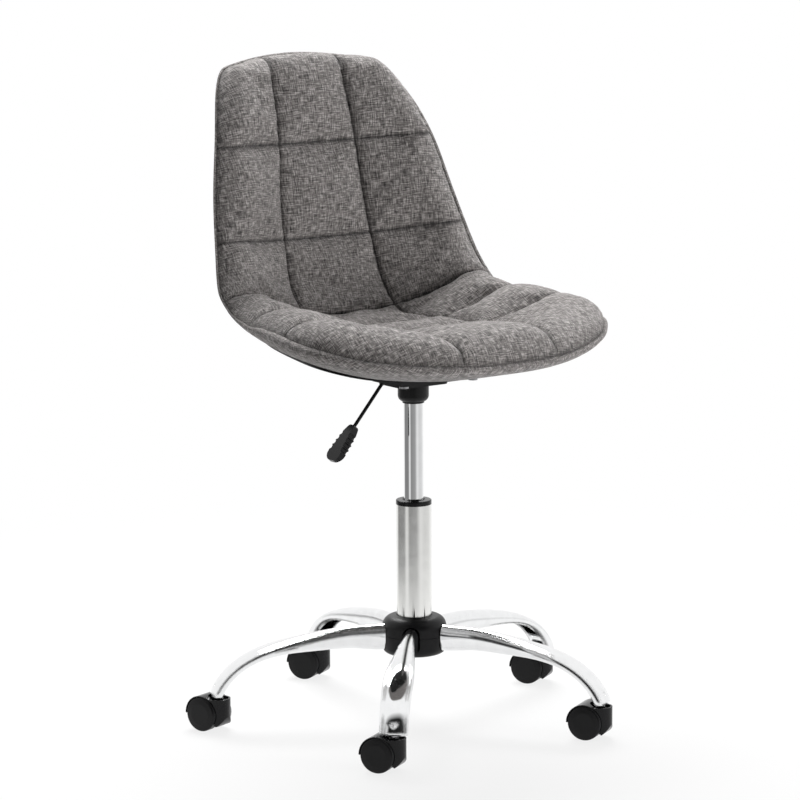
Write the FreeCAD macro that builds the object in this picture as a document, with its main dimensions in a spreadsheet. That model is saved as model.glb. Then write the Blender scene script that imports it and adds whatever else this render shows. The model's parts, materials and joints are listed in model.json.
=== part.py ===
"""Swivel office chair on a five-arm chrome base, with a quilted bucket seat on a gas lift.

Millimetres, +Z up. The origin is on the floor, on the axis of the lift column, and the chair faces -Y.
Every sub-part is an object of the document, bound to the sheet of sizes, and is written to parts/ under its Label.
"""

import FreeCAD, Part
import math
import os

import Sketcher
from FreeCAD import Placement, Rotation, Vector

doc = FreeCAD.newDocument("SwivelChair")
sheet = doc.addObject("Spreadsheet::Sheet", "Sizes")

# ---------------------------------------------------------------------------------------------------------------
# Driving dimensions: name, value, what it is
# ---------------------------------------------------------------------------------------------------------------

SIZES = [
    ("arm_count", 5, "arms of the base, one caster each"),
    ("base_turn", 30, "angle of the first arm from the front, degrees"),
    ("caster_circle", 283.5, "radius from the column axis to each caster stem"),
    ("foot_height", 52, "underside of an arm's foot above the floor"),
    ("arm_wall", 1.8, "sheet thickness of an arm"),
    ("hollow_across", 0.84, "width of the hollow as a share of the width between the arm's walls"),
    ("hollow_deep", 0.74, "depth of the hollow as a share of the depth between the arm's walls"),
    ("arm_slot_width", 22, "opening under the outer half of an arm"),
    ("sleeve_radius", 32, "outside of the steel sleeve that the arms are welded to"),
    ("sleeve_bottom", 104, "lower end of the sleeve"),
    ("sleeve_top", 147, "upper end of the sleeve"),
    ("hub_radius", 45.5, "outside of the plastic hub covers"),
    ("hub_bottom", 98.5, "lower face of the hub"),
    ("hub_seam", 126, "where the two hub covers meet"),
    ("hub_top", 152.5, "upper lip of the hub"),
    ("hub_wall", 2.4, "wall of the hub covers"),
    ("hub_window_width", 25, "arched window for an arm"),
    ("hub_window_level", 123.6, "middle of that window above the floor"),
    ("hub_window_height", 45, "height of that window"),
    ("column_radius", 25, "outer tube of the gas lift"),
    ("column_wall", 1.6, "wall of that tube"),
    ("column_bottom", 99, "lower end of the column"),
    ("column_top", 313.5, "upper end of the column tube"),
    ("column_slit_count", 10, "crimped slits round the foot of the column"),
    ("column_slit_width", 2.6, "width of a slit at its foot"),
    ("column_slit_height", 16, "height of a slit above the hub"),
    ("collar_height", 6.5, "plastic collar on top of the column"),
    ("guide_length", 70, "plastic guide bush inside the column"),
    ("end_plate", 5, "steel plate in the bottom of the column"),
    ("running_gap", 0.06, "radial clearance of a running fit"),
    ("sliding_gap", 0.08, "radial clearance of a sliding fit"),
    ("free_gap", 0.4, "clearance between pieces that move past each other"),
    ("rod_radius", 5, "piston rod"),
    ("rod_groove", 4.2, "radius of the clip groove in the rod"),
    ("rod_bottom", 92.5, "lower end of the piston rod"),
    ("piston_height", 10, "length of the piston"),
    ("washer_height", 2, "each washer of the thrust bearing"),
    ("washer_radius", 12, "outside of the thrust washers"),
    ("ball_gap", 3, "space between the thrust washers"),
    ("ball_count", 8, "balls of the thrust bearing"),
    ("bumper_radius", 11, "rubber stop on the rod"),
    ("clip_height", 2, "thickness of the retaining clip"),
    ("clip_radius", 8.5, "outside of the retaining clip"),
    ("cylinder_radius", 14, "moving cylinder of the gas lift"),
    ("cylinder_wall", 1.5, "wall of the cylinder"),
    ("cylinder_bottom", 242, "lower end of the cylinder, seat raised"),
    ("cylinder_top", 486.5, "upper end of the cylinder, seat raised"),
    ("gland_height", 13, "seal that closes the cylinder round the rod"),
    ("lift_travel", 120, "how far the seat comes down"),
    ("taper_radius", 13, "top of the cylinder's taper"),
    ("valve_radius", 4, "release pin in the top of the cylinder"),
    ("valve_proud", 3.7, "how far the release pin stands out"),
    ("valve_chamber", 20, "length of the release pin's bore"),
    ("socket_radius", 22, "cup under the seat that holds the taper"),
    ("socket_bottom", 461, "lower edge of the cup"),
    ("plate_top", 500, "upper face of the seat plate"),
    ("plate_thick", 2.5, "steel of the seat plate"),
    ("plate_width", 150, "side of the seat plate"),
    ("plate_corner", 14, "corner radius of the seat plate"),
    ("pan_length", 84, "pressed pan in the seat plate, side to side"),
    ("pan_width", 64, "pressed pan, front to back"),
    ("pan_depth", 14, "depth of the pan, outside"),
    ("pan_corner", 12, "corner radius of the pan"),
    ("bolt_spacing", 120, "side of the square of seat bolts"),
    ("bolt_radius", 4, "seat bolt"),
    ("bolt_head_radius", 6.5, "head of a seat bolt"),
    ("bolt_head_height", 4.5, "height of that head"),
    ("bolt_length", 14, "seat bolt under its head"),
    ("insert_radius", 5.8, "threaded insert for a seat bolt"),
    ("pivot_reach", 24, "lever pivot from the column axis"),
    ("lever_height", 493, "height of the lever's axis in the pan"),
    ("lever_radius", 2.5, "lever rod"),
    ("lever_eye", 4.2, "boss round the lever's pivot"),
    ("lever_drop", 49, "slope of the outer rod below level, degrees"),
    ("lever_bend", 12, "radius of the bend in the rod"),
    ("lever_straight", 28.5, "from the pivot to the corner of the bend"),
    ("lever_outer", 76, "from that corner to the paddle"),
    ("pin_radius", 2, "lever pivot pin"),
    ("pin_length", 20, "length of that pin"),
    ("paddle_length", 59, "finger paddle of the lever"),
    ("paddle_width", 29, "broad end of the paddle, front to back"),
    ("paddle_neck", 13, "width of the paddle where the rod enters"),
    ("paddle_thick", 12, "thickness of the paddle"),
    ("paddle_corner", 11, "round corners of its broad end"),
    ("paddle_side", 260, "radius of its long sides"),
    ("paddle_groove", 3.4, "radius of the finger grooves"),
    ("bracket_thick", 1.6, "sheet of the lever's bracket"),
    ("bracket_width", 9, "width of that bracket"),
    ("bracket_foot", 5, "foot of that bracket on the seat plate"),
    ("crown_exponent", 2.3, "how sharply the bucket's sides turn up"),
    ("pad_fullness", 6, "how late the pad thins out toward its sides"),
    ("shell_top", 4, "top of the shell below the rim surface"),
    ("shell_thick", 6, "moulded shell"),
    ("rear_depth", 21, "outside of the rear upholstery below the rim surface"),
    ("cover_thick", 3, "black underside cover"),
    ("cover_gap", 0.5, "gap round pieces that pass through a cover"),
    ("glue_gap", 0.2, "pad above the shell"),
    ("shell_inset", 3, "shell inside the padded rim"),
    ("pad_edge", 14, "rounded edge of the pad"),
    ("rear_edge", 7, "rounded edge of the rear upholstery"),
    ("cover_across", 0.72, "half width of the underside cover, as a share of the bucket's"),
    ("cover_front", 0.2, "front of the underside cover, as a share of the bucket's length"),
    ("cover_back", 0.56, "back of the underside cover, as a share of the bucket's length"),
    ("block_width", 154, "side of the mounting block between plate and shell"),
    ("top_crown", 34, "how far the top edge falls to its corners"),
    ("top_corner_width", 43, "corner of the back, side to side"),
    ("top_corner_length", 139, "corner of the back, along the shell"),
    ("lip_crown", 21, "how far the front edge draws back to its corners"),
    ("lip_corner_width", 170, "corner of the seat, side to side"),
    ("lip_corner_length", 102, "corner of the seat, along the shell"),
    ("wheel_radius", 24.5, "caster wheel"),
    ("wheel_face", 22.2, "outer face of a wheel from the caster's centre plane"),
    ("wheel_round", 3, "rounded edge of a wheel"),
    ("wheel_dome", 0.8, "how far the middle of a wheel's face stands out"),
    ("wheel_flat", 15, "flat middle of a wheel's face"),
    ("wheel_hub", 7.5, "hub of a wheel"),
    ("wheel_rim", 19.5, "inside of a wheel's rim"),
    ("caster_trail", 17, "from the stem to the axle"),
    ("web_half", 6.4, "half of the web between the wheels"),
    ("hood_half", 20.5, "half of the width of the hood over the wheels"),
    ("hood_wall", 1.5, "wall of the hood"),
    ("hood_gap", 0.5, "hood clear of the wheels"),
    ("collar_radius", 17, "round collar of the hood"),
    ("collar_wall", 2.4, "wall of that collar"),
    ("bumper_round", 25, "round front of the hood below its collar"),
    ("hood_top", 47, "upper rim of that collar"),
    ("hood_recess", 3, "depth of the recess in the collar"),
    ("axle_radius", 3, "caster axle"),
    ("stem_radius", 5, "caster stem in its socket"),
    ("stem_pin_radius", 4, "caster stem in the hood"),
    ("stem_flange_radius", 6.6, "flange of the stem"),
    ("stem_depth", 14.5, "stem inside the socket"),
]

# Stations along the middle of the bucket: name, depth (+ is back), height, half width, rise of the side edges,
# height of the pad above the rim surface in the middle and at the sides
STATIONS = [
    ("lip", -230, 551, 206, 30, 27, 20),
    ("front", -151, 534, 240, 42, 46, 24),
    ("thigh", -54, 524.5, 252, 58, 46.5, 24),
    ("seat", 60, 526.5, 234, 68, 41, 22),
    ("turn", 139, 539, 223, 76, 31, 19),
    ("bend", 190, 579, 221, 77, 24.5, 18),
    ("lumbar", 222, 655, 209, 72, 21, 17.5),
    ("back", 240, 750, 192, 59, 20, 17.5),
    ("shoulder", 251, 829, 176, 47, 19.5, 17.5),
    ("top", 282, 937, 161, 22, 18.5, 17.5),
]

# Stations along an arm: name, where its reach starts, reach, height, depth of the section, its width.
# The inner ones are placed from the column's axis, and the outer ones from the caster's stem
ARM_STATIONS = [
    ("root", "0", 26, 126.4, 38, 20),
    ("near", "0", 86, 124.6, 33, 23),
    ("middle", "caster_circle", -143.5, 121.6, 27, 30),
    ("outer", "caster_circle", -91.5, 115.3, 19.5, 40),
    ("shoulder", "caster_circle", -49.5, 103, 15, 43),
    ("knee", "caster_circle", -21.5, 85.5, 14.5, 42),
    ("ankle", "caster_circle", -4.5, 66.5, 15.5, 41),
    ("foot", "caster_circle", 4.5, 42, 17, 40),
]

for station, depth, height, half_width, rise, pad_middle, pad_side in STATIONS:
    SIZES += [
        (station + "_depth", depth, "bucket station " + station + ", + is back"),
        (station + "_height", height, "bucket station " + station + ", above the floor"),
        (station + "_half", half_width, "bucket station " + station + ", half width"),
        (station + "_rise", rise, "bucket station " + station + ", rise of its sides"),
        (station + "_pad", pad_middle, "bucket station " + station + ", pad above the rim surface in the middle"),
        (station + "_pad_side", pad_side, "bucket station " + station + ", pad above the rim surface at the sides"),
    ]
for station, start, reach, height, section_depth, section_width in ARM_STATIONS:
    SIZES += [
        ("arm_" + station + "_reach", reach, "arm station " + station + ", outwards of where its reach starts"),
        ("arm_" + station + "_level", height, "arm station " + station + ", above the floor"),
        ("arm_" + station + "_deep", section_depth, "arm station " + station + ", depth of the section"),
        ("arm_" + station + "_wide", section_width, "arm station " + station + ", width of the section"),
    ]

for row, (alias, value, note) in enumerate(SIZES, start=1):
    sheet.set(f"A{row}", alias)
    sheet.set(f"B{row}", str(value))
    sheet.setAlias(f"B{row}", alias)
    sheet.set(f"C{row}", note)
doc.recompute()
ALIASES = {alias for alias, value, note in SIZES}


def size(expression):
    """Value of an expression in the names of the sheet."""
    return float(sheet.evalExpression(named(expression)))


def named(expression):
    """The expression with every size written as a cell of the sheet."""
    words = str(expression).replace("(", "( ").replace(")", " )").split(" ")
    return " ".join("Sizes." + word if word in ALIASES else word for word in words)


# ---------------------------------------------------------------------------------------------------------------
# Helpers for bodies, sketches and features
# ---------------------------------------------------------------------------------------------------------------

sub_parts = []
cuts = []


def new_body(label):
    body = doc.addObject("PartDesign::Body", label)
    sub_parts.append(body)
    return body


def new_feature(label, shape):
    feature = doc.addObject("Part::Feature", label)
    feature.Shape = shape
    sub_parts.append(feature)
    return feature


def new_sketch(body, plane, name, offset=None):
    """A sketch on one of the body's own origin planes, or held off it along the plane's normal."""
    sketch = body.newObject("Sketcher::SketchObject", name)
    origin_plane = next(item for item in body.Origin.OriginFeatures if item.Role == plane)
    sketch.AttachmentSupport = [(origin_plane, "")]
    sketch.MapMode = "FlatFace"
    if offset is not None:
        sketch.setExpression("AttachmentOffset.Base.z", named(offset))
    return sketch


def pin_point(sketch, geometry, end, across, up):
    """Fix one end of a sketch element at two expressions from the sketch's origin."""
    for kind, axis, expression in (("DistanceX", -2, across), ("DistanceY", -1, up)):
        value = size(expression)
        if expression == "0":
            sketch.addConstraint(Sketcher.Constraint("PointOnObject", geometry, end, axis))
            continue
        index = sketch.addConstraint(Sketcher.Constraint(kind, -1, 1, geometry, end, value))
        sketch.setExpression(f"Constraints[{index}]", named(expression))


def arc_between(start, end, radius, bulge):
    """Anticlockwise arc between two points; bulge +1 curves to the left of start to end, -1 to the right."""
    chord = end - start
    middle = (start + end) * 0.5
    left = Vector(-chord.y, chord.x, 0).normalize()
    half = chord.Length / 2
    rise = radius - math.sqrt(max(radius * radius - half * half, 0.0))
    first, last = (end, start) if bulge > 0 else (start, end)
    return Part.Arc(first, middle + left * (rise * bulge), last)


def outline(sketch, points):
    """Closed outline. Each point is (across, up), or (across, up, radius, bulge) when an arc leads to it."""
    places = [Vector(size(point[0]), size(point[1]), 0) for point in points]
    first = None
    previous = None
    for index, point in enumerate(points):
        start = places[index - 1]
        end = places[index]
        is_arc = len(point) == 4
        if is_arc:
            curve = arc_between(start, end, size(point[2]), point[3])
        else:
            curve = Part.LineSegment(start, end)
        geometry = sketch.addGeometry(curve, False)
        # an arc is drawn anticlockwise, so where it curves to the left its ends change places
        swapped = is_arc and point[3] > 0
        start_end, end_end = (2, 1) if swapped else (1, 2)
        pin_point(sketch, geometry, end_end, point[0], point[1])
        if is_arc:
            radius_index = sketch.addConstraint(Sketcher.Constraint("Radius", geometry, size(point[2])))
            sketch.setExpression(f"Constraints[{radius_index}]", named(point[2]))
        if previous is not None:
            sketch.addConstraint(Sketcher.Constraint("Coincident", previous[0], previous[1], geometry, start_end))
        else:
            first = (geometry, start_end)
        previous = (geometry, end_end)
    sketch.addConstraint(Sketcher.Constraint("Coincident", previous[0], previous[1], first[0], first[1]))


def circle(sketch, across, up, radius):
    centre = Vector(size(across), size(up), 0)
    geometry = sketch.addGeometry(Part.Circle(centre, Vector(0, 0, 1), size(radius)), False)
    pin_point(sketch, geometry, 3, across, up)
    index = sketch.addConstraint(Sketcher.Constraint("Radius", geometry, size(radius)))
    sketch.setExpression(f"Constraints[{index}]", named(radius))


def rectangle(sketch, low_across, low_up, high_across, high_up):
    outline(sketch, [(low_across, low_up), (high_across, low_up), (high_across, high_up), (low_across, high_up)])


def stadium(sketch, across, up, width, height):
    """Upright slot with round ends, centred on (across, up)."""
    left = f"{across} - {width} / 2"
    right = f"{across} + {width} / 2"
    low = f"{up} - {height} / 2 + {width} / 2"
    high = f"{up} + {height} / 2 - {width} / 2"
    radius = f"{width} / 2 + 0.5"
    outline(sketch, [(right, low, radius, -1), (right, high), (left, high, radius, -1), (left, low)])


def revolve(body, points, name="Profile"):
    """Turn an outline in the XZ plane round the Z axis."""
    sketch = new_sketch(body, "XZ_Plane", name)
    outline(sketch, points)
    turn = body.newObject("PartDesign::Revolution", name + "Turn")
    turn.Profile = sketch
    turn.ReferenceAxis = (sketch, ["V_Axis"])
    turn.Angle = 360
    return turn


def pad(body, sketch, length, name, both_ways=False, reverse=False):
    feature = body.newObject("PartDesign::Pad", name)
    feature.Profile = sketch
    feature.setExpression("Length", named(length))
    feature.SideType = "Symmetric" if both_ways else "One side"
    feature.Reversed = reverse
    return feature


def pocket(body, sketch, length, name, both_ways=False, reverse=False):
    feature = body.newObject("PartDesign::Pocket", name)
    feature.Profile = sketch
    feature.setExpression("Length", named(length))
    feature.SideType = "Symmetric" if both_ways else "One side"
    feature.Reversed = reverse
    cuts.append(feature)
    return feature


def round_pattern(body, feature, count, name):
    """Repeat a feature round the Z axis."""
    pattern = body.newObject("PartDesign::PolarPattern", name)
    pattern.Originals = [feature]
    z_axis = next(item for item in body.Origin.OriginFeatures if item.Role == "Z_Axis")
    pattern.Axis = (z_axis, [""])
    pattern.Angle = 360
    pattern.setExpression("Occurrences", named(count))
    body.Tip = pattern
    return pattern


def ring(label, inner, outer, low, high):
    """Plain ring or, with inner 0, a disc, between two heights."""
    body = new_body(label)
    revolve(body, [(inner, low), (outer, low), (outer, high), (inner, high)])
    return body


def even_spline(points, closed=False):
    """Smooth curve through points, evenly parametrised, so that lofted sections share their knots."""
    spans = len(points) if closed else len(points) - 1
    curve = Part.BSplineCurve()
    parameters = [index / spans for index in range(spans + 1)]
    curve.interpolate(Points=points, PeriodicFlag=closed, Parameters=parameters)
    return curve


def rotated(radius, angle_degrees, height=0.0):
    """Point at a distance from the Z axis; the angle counts from the front, anticlockwise from above."""
    angle = math.radians(angle_degrees)
    return Vector(radius * math.sin(angle), -radius * math.cos(angle), height)


# ---------------------------------------------------------------------------------------------------------------
# Column of the gas lift: outer tube, guide bush with its collar, end plate and lower bearing washer
# ---------------------------------------------------------------------------------------------------------------


def make_column():
    tube = new_body("column_tube")
    bore = "column_radius - column_wall"
    revolve(tube, [(bore, "column_bottom"), ("column_radius", "column_bottom"),
                   ("column_radius", "column_top"), (bore, "column_top")])
    slit = new_sketch(tube, "XZ_Plane", "Slit")
    outline(slit, [("0 - column_slit_width / 2", "hub_top - 2"), ("column_slit_width / 2", "hub_top - 2"),
                   ("0", "hub_top + column_slit_height")])
    cut = pocket(tube, slit, "column_radius + 5", "SlitCut", reverse=True)
    round_pattern(tube, cut, "column_slit_count", "SlitRing")

    guide = new_body("column_guide")
    hole = "cylinder_radius + sliding_gap"
    lip = "column_top + collar_height"
    revolve(guide, [(hole, "column_top - guide_length"), (bore, "column_top - guide_length"),
                    (bore, "column_top"), ("column_radius + 0.3", "column_top"),
                    ("column_radius + 0.3", f"{lip} - 1.5"), ("column_radius - 1.2", lip, 1.5, -1),
                    (f"{hole} + 2.5", lip), (hole, f"{lip} - 2.5")])

    plate_top = "column_bottom + end_plate"
    ring("column_end_plate", "rod_radius + running_gap", bore, "column_bottom", plate_top)
    ring("bearing_race_lower", "rod_radius + running_gap", "washer_radius", plate_top,
         f"{plate_top} + washer_height")


# ---------------------------------------------------------------------------------------------------------------
# Piston rod and what turns with it: balls, upper race, rubber stop, piston, retaining clip
# ---------------------------------------------------------------------------------------------------------------


def make_rod():
    race = "column_bottom + end_plate + washer_height + ball_gap"
    stop = f"{race} + washer_height"
    clip_top = "column_bottom - free_gap"
    clip_low = f"{clip_top} - clip_height"
    piston_low = "cylinder_bottom + gland_height + 3"
    piston_top = f"{piston_low} + piston_height"

    rod = new_body("piston_rod")
    revolve(rod, [("0", "rod_bottom"), ("rod_radius", "rod_bottom"), ("rod_radius", clip_low),
                  ("rod_groove", clip_low), ("rod_groove", clip_top), ("rod_radius", clip_top),
                  ("rod_radius", piston_top), ("0", piston_top)])
    piston = new_body("piston")
    head = "cylinder_radius - cylinder_wall - sliding_gap"
    revolve(piston, [("rod_radius", piston_low), (head, piston_low), (head, f"{piston_low} + 3.5"),
                     (f"{head} - 1.5", f"{piston_low} + 3.5"), (f"{head} - 1.5", f"{piston_top} - 3.5"),
                     (head, f"{piston_top} - 3.5"), (head, piston_top), ("rod_radius", piston_top)])
    ring("bearing_race_upper", "rod_radius", "washer_radius", race, stop)
    bumper = new_body("rubber_stop")
    bumper_top = "cylinder_bottom - lift_travel - free_gap"
    revolve(bumper, [("rod_radius", stop), ("bumper_radius", stop), ("bumper_radius", f"{bumper_top} - 3"),
                     ("bumper_radius - 3", bumper_top, 3, -1), ("rod_radius", bumper_top)])

    clip = new_body("retaining_clip")
    revolve(clip, [("rod_groove", clip_low), ("clip_radius", clip_low), ("clip_radius", clip_top),
                   ("rod_groove", clip_top)])
    gap = new_sketch(clip, "XY_Plane", "Gap")
    rectangle(gap, "0", "0 - rod_groove + 0.4", "clip_radius + 2", "rod_groove - 0.4")
    pocket(clip, gap, "column_bottom", "GapCut", reverse=True)

    ball_radius = "ball_gap / 2 - 0.05"
    circle_radius = size("rod_radius + washer_radius") / 2
    balls = []
    for index in range(int(size("ball_count"))):
        ball = doc.addObject("Part::Sphere", f"Ball{index + 1}")
        ball.setExpression("Radius", named(ball_radius))
        place = rotated(circle_radius, 360 * index / size("ball_count"), size(f"{race} - ball_gap / 2"))
        ball.Placement = Placement(place, Rotation())
        balls.append(ball)
    cage = doc.addObject("Part::Compound", "bearing_balls")
    cage.Links = balls
    sub_parts.append(cage)


# ---------------------------------------------------------------------------------------------------------------
# Moving cylinder with its taper, seal and release pin, and the cup that takes the taper
# ---------------------------------------------------------------------------------------------------------------


def make_cylinder():
    bore = "cylinder_radius - cylinder_wall"
    chamber = "cylinder_top - valve_chamber"
    pin_hole = "valve_radius + running_gap"
    cylinder = new_body("gas_cylinder")
    revolve(cylinder, [(bore, "cylinder_bottom"), ("cylinder_radius", "cylinder_bottom"),
                       ("cylinder_radius", "socket_bottom"), ("taper_radius", "cylinder_top"),
                       (pin_hole, "cylinder_top"), (pin_hole, chamber), (bore, chamber)])
    ring("rod_seal", "rod_radius + running_gap", bore, "cylinder_bottom + 0.5", "cylinder_bottom + gland_height")

    pin = new_body("release_pin")
    pin_top = "cylinder_top + valve_proud"
    revolve(pin, [("0", f"{chamber} + 5"), ("valve_radius", f"{chamber} + 5"), ("valve_radius", f"{pin_top} - 1"),
                  ("valve_radius - 1", pin_top, 1, -1), ("0", pin_top)])

    cup = new_body("taper_cup")
    floor = "plate_top - pan_depth"
    neck = "cylinder_radius + 1.4"
    revolve(cup, [("cylinder_radius", "socket_bottom - 2"), (neck, "socket_bottom - 2"), (neck, "socket_bottom"),
                  ("socket_radius", "socket_bottom + 8.5", 9, -1), ("socket_radius", f"{floor} - 2"),
                  ("socket_radius - 1.5", floor), ("socket_radius - 1.5", f"{floor} + plate_thick"),
                  ("taper_radius", f"{floor} + plate_thick"), ("taper_radius", "cylinder_top"),
                  ("cylinder_radius", "socket_bottom")])


# ---------------------------------------------------------------------------------------------------------------
# Hub: steel sleeve and two plastic covers with an arched window for each arm
# ---------------------------------------------------------------------------------------------------------------


def cut_windows(body):
    window = new_sketch(body, "YZ_Plane", "Window")
    stadium(window, "0", "hub_window_level", "hub_window_width", "hub_window_height")
    cut = pocket(body, window, "hub_radius + 5", "WindowCut", reverse=True)
    round_pattern(body, cut, "arm_count", "WindowRing")
    body.Placement = Placement(Vector(), Rotation(Vector(0, 0, 1), size("base_turn") - 90))


def make_hub():
    ring("hub_sleeve", "column_radius", "sleeve_radius", "sleeve_bottom", "sleeve_top")
    round_top = 15
    inner_round = f"{round_top} - hub_wall"
    upper = new_body("hub_cover_upper")
    lip = "column_radius + cover_gap"
    revolve(upper, [("hub_radius - hub_wall", "hub_seam"), ("hub_radius", "hub_seam"),
                    ("hub_radius", f"hub_top - {round_top}"),
                    (f"hub_radius - {round_top}", "hub_top", round_top, -1), (lip, "hub_top + 1"),
                    (lip, "hub_top - hub_wall"), (f"hub_radius - {round_top}", "hub_top - hub_wall"),
                    ("hub_radius - hub_wall", f"hub_top - {round_top}", inner_round, 1)])
    cut_windows(upper)

    round_low = 9
    inner_low = f"{round_low} - hub_wall"
    lower = new_body("hub_cover_lower")
    seam = "hub_seam - 0.6"
    revolve(lower, [("column_radius + cover_gap", "hub_bottom"), (f"hub_radius - {round_low}", "hub_bottom"),
                    ("hub_radius", f"hub_bottom + {round_low}", round_low, -1), ("hub_radius", seam),
                    ("hub_radius - hub_wall", seam), ("hub_radius - hub_wall", f"hub_bottom + {round_low}"),
                    (f"hub_radius - {round_low}", "hub_bottom + hub_wall", inner_low, 1),
                    ("column_radius + cover_gap", "hub_bottom + hub_wall")])
    cut_windows(lower)


# ---------------------------------------------------------------------------------------------------------------
# Arms: a tall oval tube at the hub that flattens, arches down to its foot and is open underneath
# ---------------------------------------------------------------------------------------------------------------


def oval_section(centre, along, width, depth):
    """Closed smooth wire of a fuller-than-oval section round a centre, across the direction of the arm."""
    side = Vector(0, 1, 0)
    up = side.cross(along).normalize() * -1
    count = 10
    fullness = 0.8
    points = []
    for index in range(count):
        turn = 2 * math.pi * (index + 0.5) / count
        across = math.copysign(abs(math.cos(turn)) ** fullness, math.cos(turn))
        rise = math.copysign(abs(math.sin(turn)) ** fullness, math.sin(turn))
        points.append(centre + side * (across * width / 2) + up * (rise * depth / 2))
    return Part.Wire([even_spline(points, closed=True).toShape()])


def square_section(centre, along, width, depth):
    """Closed wire of four straight sides round a centre, across the direction of the arm."""
    side = Vector(0, 1, 0) * (width / 2)
    up = Vector(0, 1, 0).cross(along).normalize() * (-depth / 2)
    corners = [centre + side + up, centre - side + up, centre - side - up, centre + side - up]
    return Part.makePolygon(corners + corners[:1])


def arm_centre(station, start):
    """Middle of an arm's section at a station."""
    return Vector(size(f"{start} + arm_{station}_reach"), 0, size(f"arm_{station}_level"))


def arm_sections():
    """Centre, direction, width and depth of the arm's form along +X, at each of its stations."""
    centres = [arm_centre(station, start) for station, start, *rest in ARM_STATIONS]
    spine = Part.BSplineCurve()
    spine.interpolate(centres)
    sections = []
    for (station, *rest), centre in zip(ARM_STATIONS, centres):
        along = spine.tangent(spine.parameter(centre))[0]
        sections.append((centre, along, size(f"arm_{station}_wide"), size(f"arm_{station}_deep")))
    return sections


def arm_form():
    """The arm as a solid."""
    wires = [oval_section(*section) for section in arm_sections()]
    return Part.makeLoft(wires, True, False)


def arm_hollow():
    """The hollow along the arm, square where the arm is round."""
    wires = []
    for centre, along, width, depth in arm_sections():
        hollow_width = size("hollow_across") * (width - 2 * size("arm_wall"))
        hollow_depth = size("hollow_deep") * (depth - 2 * size("arm_wall"))
        wires.append(square_section(centre, along, hollow_width, hollow_depth))
    return Part.makeLoft(wires, True, False)


def make_arms():
    outer = arm_form()
    inner = arm_hollow()
    foot = size("foot_height")
    circle_radius = size("caster_circle")
    below_foot = Part.makeBox(200, 200, foot, Vector(circle_radius - 100, -100, 0))
    round_sleeve = Part.makeCylinder(size("sleeve_radius"), 200)
    insert_top = foot + size("stem_depth") + 1.5
    insert_zone = Part.makeBox(60, 60, insert_top - foot, Vector(circle_radius - 30, -30, foot))
    hole = Part.makeCylinder(size("stem_radius"), size("stem_depth"), Vector(circle_radius, 0, foot))
    tube = outer.cut(inner).cut(below_foot).cut(round_sleeve).cut(arm_opening()).cut(hole)
    insert = inner.common(insert_zone).cut(hole)
    inserts = []
    for index in range(int(size("arm_count"))):
        turn = size("base_turn") - 90 + 360 * index / size("arm_count")
        place = Placement(Vector(), Rotation(Vector(0, 0, 1), turn))
        arm = new_feature(f"arm_{index + 1}", tube)
        arm.Placement = place
        copy = insert.copy()
        copy.Placement = place
        inserts.append(copy)
    new_feature("stem_sockets", Part.makeCompound(inserts))


def arm_opening():
    """Slot up into the hollow of an arm, along the underside of its outer half."""
    width = size("arm_slot_width")
    points = [arm_centre(station, start) for station, start, *rest in ARM_STATIONS[3:7]]
    end = points[-1] + Vector(2 - width / 2, 0, 0)
    points = points[:-1] + [end, Vector(end.x, 0, 0), Vector(points[0].x, 0, 0), points[0]]
    face = Part.Face(Part.makePolygon(points))
    face.translate(Vector(0, -width / 2, 0))
    slot = face.extrude(Vector(0, width, 0))
    nose = Part.makeCylinder(width / 2, points[0].z, Vector(points[0].x, 0, 0))
    return slot.fuse(nose)


# ---------------------------------------------------------------------------------------------------------------
# Casters: each has a stem in the base, a hood that swivels on it, an axle and two wheels
# ---------------------------------------------------------------------------------------------------------------

# Direction in which each caster trails, degrees anticlockwise from +X
TRAILS = [120, 120, 120, 108, 120]


def make_stem(name):
    stem = new_body(name)
    flange_top = "foot_height - 0.2"
    flange_low = "foot_height - 2.6"
    stem_low = "hood_top - 17"
    revolve(stem, [("0", stem_low), ("stem_pin_radius", stem_low), ("stem_pin_radius", "hood_top + 0.3"),
                   ("stem_radius", "hood_top + 0.8"), ("stem_radius", flange_low),
                   ("stem_flange_radius", flange_low), ("stem_flange_radius", flange_top),
                   ("stem_radius", flange_top), ("stem_radius", "foot_height + stem_depth - 0.5"),
                   ("0", "foot_height + stem_depth - 0.5")])
    return stem


def rounded_rectangle(sketch, half_across, half_up, corner):
    """Rectangle round the sketch's origin with round corners."""
    outline(sketch, [
        (f"{half_across}", f"0 - {half_up} + {corner}", corner, -1), (f"{half_across}", f"{half_up} - {corner}"),
        (f"{half_across} - {corner}", half_up, corner, -1), (f"0 - {half_across} + {corner}", half_up),
        (f"0 - {half_across}", f"{half_up} - {corner}", corner, -1),
        (f"0 - {half_across}", f"0 - {half_up} + {corner}"),
        (f"0 - {half_across} + {corner}", f"0 - {half_up}", corner, -1),
        (f"{half_across} - {corner}", f"0 - {half_up}"),
    ])


def mirror(body, features, name):
    """Repeat features on the other side of the XZ plane."""
    mirrored = body.newObject("PartDesign::Mirrored", name)
    mirrored.Originals = features
    plane = next(item for item in body.Origin.OriginFeatures if item.Role == "XZ_Plane")
    mirrored.MirrorPlane = (plane, [""])
    body.Tip = mirrored
    return mirrored


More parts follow.
